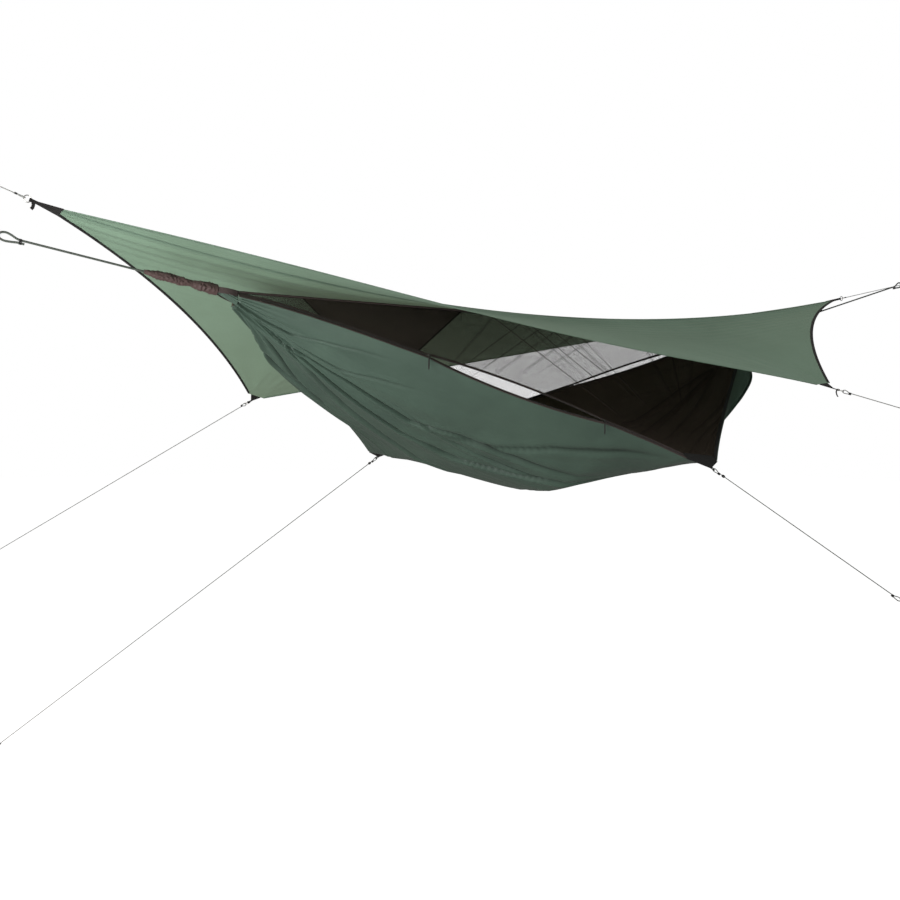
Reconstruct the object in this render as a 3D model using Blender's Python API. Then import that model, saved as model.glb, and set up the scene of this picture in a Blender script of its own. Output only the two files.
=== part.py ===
"""Asymmetric hammock tent: a gathered-end bed with sewn-in insect nets and side zips, under a diamond fly.

Run it with blender --background --python part.py, or from Blender's text editor.
Lengths are metres. +X runs from the head end to the foot end, +Z is up, and -Y is the near side.
Everything is worked out from the middle of the ridgeline first. The last step moves the part so
that its origin is the loop at the head rope's end, which is what holds it up.
The two sides of the bed are the same piece turned half round about the upright, so a side's own
coordinates are: a along the ridgeline from the end where its zip starts, p down its net from the
ridgeline, and q outwards from the net.
"""
import math

import bmesh
import bpy
import numpy as np

# Bed and nets
RIDGELINE_LENGTH = 2.70
TIE_OUT_ALONG = 0.325
TIE_OUT_ASIDE = 0.670
TIE_OUT_DROP = 0.597
BED_SAG = 0.705
ZIP_SIDE_BOW = 0.075
PLAIN_SIDE_BOW = 0.035
SHEET_THICKNESS = 0.0016
SEAM_GAP = 0.0003
NECK_LENGTH = 0.060
RIM_LAP = 0.004
FLANGE_WIDTH = 0.012
SAG_POWER = 0.95
LENGTH_POWER = 1.22
SECTION_POWER = 2.6
# The tie-out pulls its side of the bed taut between these places, and past it the cloth hangs slack and bellies out
TAUT_POWER = 1.4
PULLED_FROM = -0.340
PULLED_MOST = 0.400
PULLED_TO = 1.180
BELLY = 0.150
BELLY_FROM = 0.300
BELLY_MOST = 0.950
BELLY_TO = 1.300
FOLD_DEPTH = 0.011
FOLD_COUNT = 5
FOLD_WIDTH_SHARE = 0.030
FOLD_MIDDLE_SHARE = 0.30
BED_STATIONS = 24
BED_COLUMNS = 20

# Ridgeline
RIDGE_CORD_DIAMETER = 0.003
SLEEVE_RADIUS = 0.006
SLEEVE_WALL = 0.0014
FIRST_HOOK_ALONG = 0.990
HOOK_SPACING = 0.095
HOOK_LOOP_DROP = 0.007
HOOK_LOOP_WIRE = 0.0018
HOOK_WIRE = 0.0022
HOOK_TAPE_WIDTH = 0.0060
HOOK_TAPE_THICKNESS = 0.0010
HOOK_LENGTH = 0.020
HOOK_BEND_RADIUS = 0.0045
HOOK_EYE_SHARE = 0.58

# Zips. Each side's open stretch is measured along the ridgeline from the end where its zip starts. There the net's
# edge is drawn up its own plane, and the bed's edge hangs straight down.
ZIP_START = 0.130
TAPE_WIDTH = 0.014
TAPE_THICKNESS = 0.0010
COIL_WIDTH = 0.0040
COIL_HEIGHT = 0.0022
NEAR_OPEN_FROM = 0.690
NEAR_OPEN_TO = 1.300
NEAR_OPEN_UP = 0.030
NEAR_OPEN_DROP = 0.024
FAR_OPEN_FROM = 0.350
FAR_OPEN_TO = 0.870
FAR_OPEN_UP = 0.016
FAR_OPEN_DROP = 0.012
OPEN_SHAPE_POWER = 0.75
SLIDER_LENGTH = 0.014
SLIDER_WIDTH = 0.0100
SLIDER_PLATE = 0.0012
SLIDER_POST = 0.0022
SLIDER_NOSE_SHARE = 0.62
INNER_SHOE_SHARE = 0.52
BAIL_WIRE = 0.0014
BAIL_HEIGHT = 0.0042
BAIL_LENGTH = 0.0070
PULL_LOOP_WIRE = 0.0016
PULL_LOOP_LENGTH = 0.0180
PULL_LEAN = 0.16
PULL_GRIP_RADIUS = 0.0030
PULL_GRIP_LENGTH = 0.040

# Dark panel at the head of the near net, its corners measured along the ridgeline from the head end
PANEL_RIDGE_FROM = 0.310
PANEL_RIDGE_TO = 0.985
PANEL_RIM_FROM = 0.340
PANEL_RIM_TO = 0.635
PANEL_MARGIN = 0.020
PANEL_THICKNESS = 0.0010

# Tie-out corners
CORNER_BEFORE = 0.095
CORNER_AFTER = 0.055
PATCH_THICKNESS = 0.0020
PATCH_LAP = 0.016
PATCH_TIP_WIDTH = 0.016
PATCH_HOLE_RADIUS = 0.0036
PATCH_HOLE_EDGE = 0.009
BINDING_WIDTH = 0.018

# Gathered ends, ropes and stored sleeves
NECK_RADIUS = 0.013
NECK_MOUTH_WIDTH = 0.072
NECK_MOUTH_HEIGHT = 0.062
NECK_MOUTH_ASIDE = 0.008
NECK_MOUTH_DROP = 0.018
NECK_TAIL = 0.040
NECK_PLEATS = 7
PLEAT_SHARE = 0.07
NECK_TAPER_POWER = 0.8
# how far the cloth has run to its neck, and then along the straight tail, at each of its rings
NECK_RING_SHARES = ((0, 0), (0.35, 0), (0.7, 0), (1, 0), (1, 0.5), (1, 1))
LASHING_LENGTH = 0.020
LASHING_WALL = 0.0045
LASHING_TURNS = 4
LASHING_GROOVE_SHARE = 0.45
ROPE_DIAMETER = 0.0070
HEAD_ROPE_RISE = 0.157
FOOT_ROPE_RISE = 0.267
HEAD_ROPE_RUN = 0.700
FOOT_ROPE_RUN = 1.280
STORED_SLEEVE_LENGTH = 0.190
STORED_SLEEVE_SLACK = 0.0006
STORED_SLEEVE_FAT = 0.0150
STORED_SLEEVE_START = 0.030
STORED_SLEEVE_SHARES = ((0.0, 0.50), (0.10, 0.88), (0.28, 1.00), (0.43, 0.74), (0.52, 0.70),
                        (0.64, 0.90), (0.80, 0.86), (0.93, 0.56), (1.0, 0.46))

# Fly: its corners from the middle of the ridgeline, and how its edges curve
FLY_HEAD_ALONG = 1.930
FLY_HEAD_RISE = 0.215
FLY_FOOT_ALONG = 2.023
FLY_FOOT_RISE = 0.217
FLY_FAR_ALONG = 0.797
FLY_FAR_ASIDE = 0.927
FLY_FAR_DROP = 0.347
FLY_NEAR_ALONG = 0.731
FLY_NEAR_ASIDE = 0.886
FLY_NEAR_DROP = 0.283
FLY_HEAD_BOW = 0.077
FLY_FOOT_BOW = 0.104
FLY_NEAR_SAG = 0.028
FLY_SAG_POWER = 1.4
FLY_TIP_CUT = 0.070
FLY_CORNER_CUT = 0.060
FLY_EDGE_WIDTH = 0.014
NARROW_EDGE_SHARE = 0.4
FLY_BINDING_THICKNESS = 0.0010
RIDGE_SEAM_WIDTH = 0.010
RIDGE_SEAM_THICKNESS = 0.0008
RIDGE_SEAM_SPLIT = 0.0007
FLY_STATIONS = 24
FLY_EDGE_STEPS = 120
CORNER_BASE_SHARE = 0.62
FLY_COLUMNS = 5

# Fly corner straps and rings
STRAP_WIDTH = 0.010
STRAP_THICKNESS = 0.0030
STRAP_LENGTH = 0.016
STRAP_END_LENGTH = 0.0100
STRAP_END_THICKNESS = 0.0075
STRAP_HOLE_LENGTH = 0.0070
STRAP_HOLE_HEIGHT = 0.0046
RING_RADIUS = 0.0105
RING_WIRE = 0.0030
TAIL_LENGTH = 0.026
TAIL_THICKNESS = 0.0018
TAIL_SHARES = ((0.0, 0.0), (0.40, -0.10), (0.75, 0.0), (1.0, 0.18))
TAIL_ACROSS = {"head": (1.0, 0.0, 0.0), "near": (1.0, 0.3, 0.0)}

# Lines
LINE_DIAMETER = 0.0032
NEAR_SIDE_WAY = (0.270, -0.758, -0.505)
FAR_SIDE_WAY = (-0.285, 0.757, -0.516)
FLY_NEAR_WAY = (0.230, -0.806, -0.251)
FLY_FAR_WAY = (-0.258, 0.803, -0.347)
FLY_HEAD_WAY = (-0.949, 0.0, 0.316)
FLY_FOOT_WAY = (0.978, -0.020, 0.208)
NEAR_SIDE_RUN = 0.790
FAR_SIDE_RUN = 3.300
FLY_NEAR_RUN = 0.270
FLY_FAR_RUN = 2.140
FLY_HEAD_RUN = 0.125
FLY_FOOT_RUN = 0.575
EYE_LENGTH = 0.030
EYE_WIDTH = 0.0115
BEAD_RADIUS = 0.0055
BEAD_LENGTH = 0.012
BEAD_BORE_SLACK = 0.0006
BEAD_SHARES = ((0.0, 0.7), (0.3, 1.0), (0.7, 1.0), (1.0, 0.7))

# Shares of an eye's length and half width that its cord follows, from the standing part round to the tail
EYE_SHARES = ((1.16, 0.0), (1.0, 0.0), (0.78, 0.18), (0.54, 0.70), (0.28, 1.00), (0.07, 0.68), (0.0, 0.0),
              (0.07, -0.68), (0.28, -1.00), (0.56, -0.90), (0.84, -0.70), (1.14, -0.70))

FLY_HEAD = (-FLY_HEAD_ALONG, 0, FLY_HEAD_RISE)
FLY_FOOT = (FLY_FOOT_ALONG, 0, FLY_FOOT_RISE)
FLY_FAR = (-FLY_FAR_ALONG, FLY_FAR_ASIDE, -FLY_FAR_DROP)
FLY_NEAR = (FLY_NEAR_ALONG, -FLY_NEAR_ASIDE, -FLY_NEAR_DROP)

# For each corner of the fly: where it is, the way its line leaves, and the way its strap's width stands
FLY_CORNERS = {
    "head": (FLY_HEAD, FLY_HEAD_WAY, (0.30, 0.0, 1.0)),
    "foot": (FLY_FOOT, FLY_FOOT_WAY, (-0.20, 0.0, 1.0)),
    "far": (FLY_FAR, FLY_FAR_WAY, (1.0, 0.30, 0.0)),
    "near": (FLY_NEAR, FLY_NEAR_WAY, (1.0, 0.30, 0.0)),
}

HALF = RIDGELINE_LENGTH / 2
ACROSS = np.array([0, 1.0, 0])
UPRIGHT = np.array([0, 0, 1.0])
NET_DEPTH = math.hypot(TIE_OUT_ASIDE, TIE_OUT_DROP)
OUT, DOWN = TIE_OUT_ASIDE / NET_DEPTH, TIE_OUT_DROP / NET_DEPTH
HALF_SHEET = SHEET_THICKNESS / 2
NET_TOP = SLEEVE_RADIUS + SEAM_GAP
TAPE_IN = HALF_SHEET + SEAM_GAP
TAPE_OUT = TAPE_IN + TAPE_THICKNESS
COIL_HALF = COIL_WIDTH / 2
CORNER_FROM = TIE_OUT_ALONG - CORNER_BEFORE
CORNER_TO = TIE_OUT_ALONG + CORNER_AFTER
ZIP_END = CORNER_FROM - SEAM_GAP
LAST_OPEN = ZIP_END - SLIDER_LENGTH * 2
OPENINGS = {"near": (NEAR_OPEN_FROM - HALF, min(NEAR_OPEN_TO - HALF, LAST_OPEN), NEAR_OPEN_UP, NEAR_OPEN_DROP),
            "far": (FAR_OPEN_FROM - HALF, min(FAR_OPEN_TO - HALF, LAST_OPEN), FAR_OPEN_UP, FAR_OPEN_DROP)}
HOOK_PLACES = (FIRST_HOOK_ALONG - HALF, FIRST_HOOK_ALONG - HALF + HOOK_SPACING)

FINISHES = {
    "green_nylon": ((0.045, 0.110, 0.062), 0.55, 0.0),
    "fly_fabric": ((0.110, 0.180, 0.115), 0.45, 0.0),
    "mosquito_net": ((0.030, 0.027, 0.024), 0.85, 0.0),
    "dark_fabric": ((0.022, 0.017, 0.015), 0.80, 0.0),
    "black_webbing": ((0.016, 0.016, 0.016), 0.80, 0.0),
    "zip_coil": ((0.030, 0.028, 0.026), 0.45, 0.0),
    "zinc": ((0.420, 0.420, 0.420), 0.30, 1.0),
    "hook_plastic": ((0.020, 0.020, 0.020), 0.45, 0.0),
    "rope": ((0.050, 0.060, 0.045), 0.85, 0.0),
    "cord": ((0.200, 0.200, 0.190), 0.80, 0.0),
    "dark_cord": ((0.030, 0.035, 0.030), 0.80, 0.0),
}


# Small helpers

def unit(v):
    v = np.array(v, float)
    return v / np.linalg.norm(v)


def mix(a, b, share):
    return np.array(a, float) * (1 - share) + np.array(b, float) * share


def finish(name):
    mat = bpy.data.materials.get(name)
    if mat is None:
        color, rough, metal = FINISHES[name]
        mat = bpy.data.materials.new(name)
        mat.use_nodes = True
        shader = mat.node_tree.nodes["Principled BSDF"]
        shader.inputs["Base Color"].default_value = (*color, 1.0)
        shader.inputs["Roughness"].default_value = rough
        shader.inputs["Metallic"].default_value = metal
    return mat


def place(mesh, name, material, pivot=None):
    """Makes an object of a mesh, with its own origin on its joint where it has one."""
    mesh.materials.append(finish(material))
    obj = bpy.data.objects.new(name, mesh)
    bpy.context.scene.collection.objects.link(obj)
    if pivot is not None:
        pivot = np.array(pivot, float)
        for v in mesh.vertices:
            v.co = np.array(v.co) - pivot
        obj.location = pivot
    return obj


def mesh_of(bodies, name):
    """One mesh of one or more closed bodies, each given as its points and faces, faces outwards."""
    bm = bmesh.new()
    for points, faces in bodies:
        verts = [bm.verts.new(p) for p in points]
        new = [bm.faces.new([verts[i] for i in face]) for face in faces]
        part = bmesh.new()
        own = [part.verts.new(p) for p in points]
        for face in faces:
            part.faces.new([own[i] for i in face])
        if part.calc_volume(signed=True) < 0:
            bmesh.ops.reverse_faces(bm, faces=new)
        part.free()
    mesh = bpy.data.meshes.new(name)
    bm.to_mesh(mesh)
    bm.free()
    return mesh


def lofted(rings, order=None, closed=False):
    """Points and faces of a solid through rings of points. order gives each ring point a rank across
    the sheet, and each four-sided face is split from its low rank to the next ring's high rank,
    so that sheets that lie on each other split alike."""
    count = len(rings[0])
    points = [p for ring in rings for p in ring]
    faces = []
    steps = len(rings) if closed else len(rings) - 1
    for i in range(steps):
        here, there = i * count, ((i + 1) % len(rings)) * count
        for k in range(count):
            n = (k + 1) % count
            if order is None or order[k] <= order[n]:
                faces += [(here + k, there + k, there + n), (here + k, there + n, here + n)]
            else:
                faces += [(here + k, there + k, here + n), (here + n, there + k, there + n)]
    if not closed:
        faces.append(tuple(range(count)))
        faces.append(tuple(range((len(rings) - 1) * count, len(rings) * count))[::-1])
    return points, faces


def turned(start, way, profile, sides, across=None):
    """A solid turned about an axis: profile is closed, as (distance along, radius)."""
    way = unit(way)
    e1 = unit(np.cross(way, (0, 1, 0) if abs(way[1]) < max(abs(way[0]), abs(way[2])) else (1, 0, 0)))
    if across is not None:
        e1 = unit(across)
    e2 = np.cross(way, e1)
    rings = []
    for i in range(sides):
        angle = 2 * math.pi * i / sides
        out = math.cos(angle) * e1 + math.sin(angle) * e2
        rings.append([np.array(start) + way * d + out * r for d, r in profile])
    return lofted(rings, closed=True)


def plate(outline, place_at, low, high):
    """A flat plate: its outline in the side's own coordinates, between two heights."""
    count = len(outline)
    points = [place_at(a, p, low) for a, p in outline] + [place_at(a, p, high) for a, p in outline]
    faces = [tuple(range(count))[::-1], tuple(range(count, 2 * count))]
    faces += [(k, (k + 1) % count, count + (k + 1) % count, count + k) for k in range(count)]
    return points, faces


def smooth_route(points, per_span):
    """Points on a smooth curve through the given ones."""
    pts = [np.array(p, float) for p in points]
    pts = [2 * pts[0] - pts[1]] + pts + [2 * pts[-1] - pts[-2]]
    out = []
    for i in range(1, len(pts) - 2):
        a, b, c, d = pts[i - 1:i + 3]
        for k in range(per_span):
            t = k / per_span
            out.append(0.5 * (2 * b + (c - a) * t + (2 * a - 5 * b + 4 * c - d) * t ** 2
                              + (3 * b - a - 3 * c + d) * t ** 3))
    return out + [pts[-2]]


def tube(name, points, diameter, material, resolution=2, pivot=None):
    """A cord: a curve through the points, with a round section and closed ends."""
    base = np.zeros(3) if pivot is None else np.array(pivot, float)
    curve = bpy.data.curves.new(name, "CURVE")
    curve.dimensions = "3D"
    curve.bevel_depth = diameter / 2
    curve.bevel_resolution = resolution
    curve.use_fill_caps = True
    spline = curve.splines.new("POLY")
    spline.points.add(len(points) - 1)
    for point, where in zip(spline.points, points):
        point.co = (*(np.array(where) - base), 1.0)
    curve.materials.append(finish(material))
    obj = bpy.data.objects.new(name, curve)
    bpy.context.scene.collection.objects.link(obj)
    obj.location = base
    return obj


def wire(path, radius, across, sides):
    """A bent rod along a path. across is square to the plane that it bends in."""
    path = [np.array(p, float) for p in path]
    rings = []
    for k, here in enumerate(path):
        ahead = unit(path[min(k + 1, len(path) - 1)] - path[max(k - 1, 0)])
        e1 = unit(np.array(across, float) - ahead * float(np.dot(across, ahead)))
        e2 = np.cross(ahead, e1)
        turns = [2 * math.pi * i / sides for i in range(sides)]
        rings.append([here + e1 * radius * math.cos(t) + e2 * radius * math.sin(t) for t in turns])
    return lofted(rings)


def bar(middle, way, radius, length, sides):
    """A plain round bar by its middle."""
    way = unit(way)
    across = (1, 0, 0) if abs(way[0]) < 0.8 else (0, 1, 0)
    return wire([middle - way * length / 2, middle + way * length / 2], radius, across, sides)


def combine(obj, bodies, operation):
    """Joins closed bodies to an object, or cuts them out of it, with exact Booleans."""
    for index, body in enumerate(bodies):
        tool = place(mesh_of([body], "tool"), f"tool_{obj.name}_{operation}_{index}", "zinc")
        tool.hide_render = True
        tool.display_type = "WIRE"
        mod = obj.modifiers.new(f"{operation}_{index}", "BOOLEAN")
        mod.operation = operation
        mod.object = tool


def box(center, along, across, length, width, height):
    """A box by its middle, two of its axes and its three sizes."""
    along, across = unit(along), unit(across)
    up = np.cross(along, across)
    points = [np.array(center) + along * length * i / 2 + across * width * j / 2 + up * height * k / 2
              for i in (-1, 1) for j in (-1, 1) for k in (-1, 1)]
    return points, [(0, 1, 3, 2), (4, 6, 7, 5), (0, 4, 5, 1), (2, 3, 7, 6), (0, 2, 6, 4), (1, 5, 7, 3)]


# The bed's sides

def on_side(side):
    """The function that turns a side's own (a, p, q) into a place."""
    turn = 1 if side == "near" else -1

    def at(a, p, q):
        return np.array([turn * a, -turn * (OUT * p + DOWN * q), OUT * q - DOWN * p])
    return at


def bowed(share):
    return 1 - (2 * share - 1) ** 4


def rim(a):
    """How far down the net the seam between net and bed lies. It is cut straight across the tie-out."""
    if CORNER_FROM < a < CORNER_TO:
        return float(mix(rim(CORNER_FROM), rim(CORNER_TO), (a - CORNER_FROM) / (CORNER_TO - CORNER_FROM)))
    if a <= CORNER_FROM:
        share = (a + HALF) / (TIE_OUT_ALONG + HALF)
        return NET_DEPTH * share - ZIP_SIDE_BOW * bowed(share)
    share = (HALF - a) / (HALF - TIE_OUT_ALONG)
    return NET_DEPTH * share - PLAIN_SIDE_BOW * bowed(share)


def parted(side, a):
    """How far up its plane the net's edge is drawn, and how far down the bed's edge hangs."""
    start, end, up, drop = OPENINGS[side]
    if not start < a < end:
        return 0.0, 0.0
    shape = math.sin(math.pi * (a - start) / (end - start)) ** OPEN_SHAPE_POWER
    return up * shape, drop * shape


def net_edge(side, a):
    return rim(a) - parted(side, a)[0]


def on_bed_edge(side, a, p, q):
    """A place by the bed's edge: p down from the seam line and q outwards, let down where the zip is open."""
    return on_side(side)(a, rim(a) + p, q) - UPRIGHT * parted(side, a)[1]


def bed_stations():
    """Places along the bed where it has a section, with those where a zip's open stretch starts and ends."""
    first = -HALF + NECK_LENGTH + SEAM_GAP
    gap = -2 * first / (BED_STATIONS - 1)
    fixed = [CORNER_FROM, CORNER_TO, -CORNER_FROM, -CORNER_TO, 0]
    fixed += [OPENINGS["near"][0], OPENINGS["near"][1], -OPENINGS["far"][0], -OPENINGS["far"][1]]
    even = [first + gap * i for i in range(BED_STATIONS)]
    kept = [x for x in even[1:-1] if all(abs(x - f) > gap / 3 for f in fixed)]
    return sorted([even[0], even[-1]] + kept + fixed)


def side_stations(side):
    """Places along a side where its seam has a point: the bed's own, and more where the net's edge curves."""
    turn = 1 if side == "near" else -1
    own = [turn * x for x in bed_stations()]
    start, end = OPENINGS[side][:2]
    return sorted(own + [-HALF + ZIP_START, start + (end - start) / 16, end - (end - start) / 16])


# Bed

def fold(x, share):
    """How far the cloth's folds, which fan out from the gathered ends, stand off its plain shape."""
    reach = abs(x) / HALF
    fade = math.sin(math.pi * share) ** 0.5
    fan = math.cos(2 * math.pi * FOLD_COUNT * share + math.pi * x / HALF)
    return fade * fan * (FOLD_MIDDLE_SHARE + (1 - FOLD_MIDDLE_SHARE) * reach ** 2)


def swell(place_along, first, most, last):
    """A share that rises smoothly from 0 at the first place to 1 at the middle one and is 0 again at the last."""
    if not first < place_along < last:
        return 0.0
    run = (place_along - first) / (most - first) if place_along < most else (last - place_along) / (last - most)
    return math.sin(math.pi / 2 * run) ** 2


def bed_section(x):
    """Mid points of the bed in one upright section, from the near flange round to the far one."""
    start = on_bed_edge("near", x, RIM_LAP + FLANGE_WIDTH, 0)
    end = on_bed_edge("far", -x, RIM_LAP + FLANGE_WIDTH, 0)
    bottom = -BED_SAG * (1 - (abs(x) / HALF) ** LENGTH_POWER) ** SAG_POWER
    depth = (start[2] + end[2]) / 2 - bottom
    width = np.linalg.norm(end - start) + 2 * depth
    crest = min(FOLD_DEPTH, FOLD_WIDTH_SHARE * width)

    def hang(share):
        along = x if share < 0.5 else -x
        power = mix(SECTION_POWER, TAUT_POWER, swell(along, PULLED_FROM, PULLED_MOST, PULLED_TO))
        belly = BELLY * swell(along, BELLY_FROM, BELLY_MOST, BELLY_TO) * math.sin(2 * math.pi * share)
        drop = depth * (1 - abs(2 * share - 1) ** power)
        return mix(start, end, share) - UPRIGHT * drop - ACROSS * belly

    points = [on_bed_edge("near", x, RIM_LAP, 0), start]
    step = 1 / (4 * BED_COLUMNS)
    for k in range(1, BED_COLUMNS):
        share = k / BED_COLUMNS
        lean = hang(share + step) - hang(share - step)
        across = unit([0, lean[2], -lean[1]])
        points.append(hang(share) + across * crest * fold(x, share))
    return points + [end, on_bed_edge("far", -x, RIM_LAP, 0)]


def offset_ring(points):
    """A closed ring round a section's mid points, half a sheet to each side, mitred at its bends."""
    outer, inner = [], []
    for k, here in enumerate(points):
        before = unit(here - points[k - 1]) if k else None
        after = unit(points[k + 1] - here) if k < len(points) - 1 else None
        ways = [w for w in (before, after) if w is not None]
        normals = [np.array([0, w[2], -w[1]]) for w in ways]
        mitre = sum(normals) / len(normals)
        mitre = mitre / max(float(mitre @ mitre), 0.35)
        outer.append(here + mitre * HALF_SHEET)
        inner.append(here - mitre * HALF_SHEET)
    return outer + inner[::-1]


def make_bed():
    rings = [offset_ring(bed_section(x)) for x in bed_stations()]
    count = len(rings[0]) // 2
    order = list(range(count)) + list(range(count))[::-1]
    place(mesh_of([lofted(rings, order)], "hammock_bed"), "hammock_bed", "green_nylon")


# Nets, zips and bindings

def make_net(side):
    at = on_side(side)
    edge = [(a, net_edge(side, a) - RIM_LAP) for a in side_stations(side)]
    outline = [(edge[0][0], NET_TOP)] + edge + [(edge[-1][0], NET_TOP)]
    name = f"{side}_net"
    place(mesh_of([plate(outline, at, -HALF_SHEET, HALF_SHEET)], name), name, "mosquito_net")


def strip(side, stations, low_of, high_of, low, high):
    """A flat strip along the seam, between two curves."""
    at = on_side(side)
    outline = [(a, low_of(a)) for a in stations] + [(a, high_of(a)) for a in reversed(stations)]
    return plate(outline, at, low, high)


def make_zip(side):
    start, end = OPENINGS[side][:2]
    stations = [a for a in side_stations(side) if -HALF + ZIP_START <= a < ZIP_END] + [ZIP_END]
    upper = strip(side, stations, lambda a: net_edge(side, a) - COIL_HALF - TAPE_WIDTH,
                  lambda a: net_edge(side, a) - COIL_HALF, TAPE_IN, TAPE_OUT)
    corners = [(COIL_HALF, TAPE_IN), (COIL_HALF + TAPE_WIDTH, TAPE_IN),
               (COIL_HALF + TAPE_WIDTH, TAPE_OUT), (COIL_HALF, TAPE_OUT)]
    turn = 1 if side == "near" else -1
    common = [turn * x for x in bed_stations()]
    lower_run = sorted([a for a in common if stations[0] < a < ZIP_END] + [stations[0], ZIP_END])
    lower = lofted([[on_bed_edge(side, a, p, q) for p, q in corners] for a in lower_run])
    place(mesh_of([upper], "upper"), f"{side}_zip_net_tape", "dark_fabric")
    place(mesh_of([lower], "lower"), f"{side}_zip_bed_tape", "dark_fabric")
    low = (TAPE_IN + TAPE_OUT - COIL_HEIGHT) / 2
    clear = SLIDER_LENGTH / 2 + SEAM_GAP
    before = [a for a in stations if a < start - clear] + [start - clear]
    after = [end + clear] + [a for a in stations if a > end + clear]
    for which, run in (("start", before), ("end", after)):
        body = strip(side, run, lambda a: rim(a) - COIL_HALF + SEAM_GAP,
                     lambda a: rim(a) + COIL_HALF - SEAM_GAP, low, low + COIL_HEIGHT)
        place(mesh_of([body], "coil"), f"{side}_zip_coil_{slider_end(side, which)}", "zip_coil")


def make_plain_binding(side):
    """The tape over the seam on the side's short leg, which has no zip."""
    name = f"{side}_rim_binding"
    stations = [a for a in side_stations(side) if a >= CORNER_TO]
    stations[0] += SEAM_GAP
    stations[-1] -= NECK_LENGTH / 3
    body = strip(side, stations, lambda a: rim(a) - BINDING_WIDTH / 2,
                 lambda a: rim(a) + BINDING_WIDTH / 2, TAPE_IN, TAPE_OUT)
    place(mesh_of([body], name), name, "black_webbing")


def make_panel():
    """The dark panel inside the near net, sewn on under the net's head end."""
    at = on_side("near")
    rim_from, rim_to = PANEL_RIM_FROM - HALF, PANEL_RIM_TO - HALF
    low = [(a, net_edge("near", a) - TAPE_WIDTH) for a in np.linspace(rim_from, rim_to, 6)]
    outline = [(PANEL_RIDGE_FROM - HALF, NET_TOP + PANEL_MARGIN / 2)] + low
    outline += [(PANEL_RIDGE_TO - HALF, NET_TOP + PANEL_MARGIN / 2)]
    top = -HALF_SHEET - SEAM_GAP
    body = plate(outline, at, top - PANEL_THICKNESS, top)
    place(mesh_of([body], "near_dark_panel"), "near_dark_panel", "dark_fabric")


def patch_tip(side):
    """The middle of the tie-out's hole, and the side's own place of it."""
    along = unit((NEAR_SIDE_WAY[0], -NEAR_SIDE_WAY[1] * OUT - NEAR_SIDE_WAY[2] * DOWN, 0))
    hole = np.array([TIE_OUT_ALONG, NET_DEPTH]) - along[:2] * PATCH_HOLE_EDGE
    middle = TAPE_IN + PATCH_THICKNESS / 2
    return on_side(side)(hole[0], hole[1], middle), hole, along[:2]


def make_patch(side):
    """The webbing patch on a tie-out corner, over the net's and the bed's cut corner, with an eyelet."""
    at = on_side(side)
    where, hole, along = patch_tip(side)
    across = np.array([along[1], -along[0]])
    tip = np.array([TIE_OUT_ALONG, NET_DEPTH])
    wide = across * PATCH_TIP_WIDTH / 2
    back = -along * PATCH_TIP_WIDTH
    before, after = CORNER_FROM + SEAM_GAP, CORNER_TO - SEAM_GAP
    outline = [(before, rim(before) - PATCH_LAP), (before, rim(before) + PATCH_LAP),
               tuple(tip - wide + back), tuple(tip - wide / 2), tuple(tip + wide / 2),
               tuple(tip + wide + back), (after, rim(after) + PATCH_LAP), (after, rim(after) - PATCH_LAP)]
    name = f"{side}_tie_out_patch"
    body = plate(outline, at, TAPE_IN, TAPE_IN + PATCH_THICKNESS)
    obj = place(mesh_of([body], name), name, "black_webbing")
    normal = at(0, 0, 1) - at(0, 0, 0)
    combine(obj, [bar(where, normal, PATCH_HOLE_RADIUS, PATCH_THICKNESS * 3, 16)], "DIFFERENCE")


# Zip sliders and pulls

def slider_frame(side, which):
    """Where a slider's middle is, the way it slides to the gap's middle, down across the zip, and outwards."""
    at = on_side(side)
    start, end = OPENINGS[side][:2]
    here, meet = start if which == "start" else end, (start + end) / 2
    way = unit(at(meet, rim(meet), 0) - at(here, rim(here), 0))
    out = unit(at(0, 0, 1) - at(0, 0, 0))
    middle = at(here, rim(here), 0) + out * (TAPE_IN + TAPE_OUT) / 2
    down = np.cross(out, way)
    return middle, way, (down if down[2] < 0 else -down), out


def slider_end(side, which):
    """The zip starts at the head on the near side and at the foot on the far side."""
    return "head" if (side == "near") == (which == "start") else "foot"


def make_slider(side, which):
    """A slider: two shoes, the wedge between the parted tapes that joins them, and a bail on the outer shoe."""
    middle, way, down, out = slider_frame(side, which)
    name = f"{side}_zip_slider_{slider_end(side, which)}"
    nose = SLIDER_WIDTH / 2 * SLIDER_NOSE_SHARE
    full = SLIDER_WIDTH / 2
    back = SLIDER_LENGTH / 2
    shape = [(-back, nose), (0, full), (back, nose), (back, -nose), (0, -full), (-back, -nose)]

    def shoe(low, share):
        return lofted([[middle + way * u + down * v * share + out * h for u, v in shape]
                       for h in (low, low + SLIDER_PLATE)])
    outer = COIL_HEIGHT / 2 + SEAM_GAP
    inner = -(TAPE_IN + TAPE_OUT) / 2 - HALF_SHEET - SEAM_GAP - SLIDER_PLATE
    wedge_top, wedge_foot = outer + SLIDER_PLATE / 2, inner + SLIDER_PLATE / 2
    wedge = box(middle + way * SLIDER_LENGTH / 4 + out * (wedge_top + wedge_foot) / 2, way, down,
                SLIDER_LENGTH / 3, SLIDER_POST, wedge_top - wedge_foot)
    top = outer + SLIDER_PLATE + BAIL_HEIGHT
    reach = BAIL_LENGTH / 2
    arch = [middle + way * u + out * h for u, h in
            ((-reach, wedge_top), (-reach, top - BAIL_WIRE), (-reach + BAIL_WIRE, top),
             (reach - BAIL_WIRE, top), (reach, top - BAIL_WIRE), (reach, wedge_top))]
    obj = place(mesh_of([shoe(outer, 1)], name), name, "zinc", pivot=middle)
    combine(obj, [shoe(inner, INNER_SHOE_SHARE), wedge, wire(arch, BAIL_WIRE / 2, down, 6)], "UNION")
    make_pull(side, which, middle + out * top)


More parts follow.
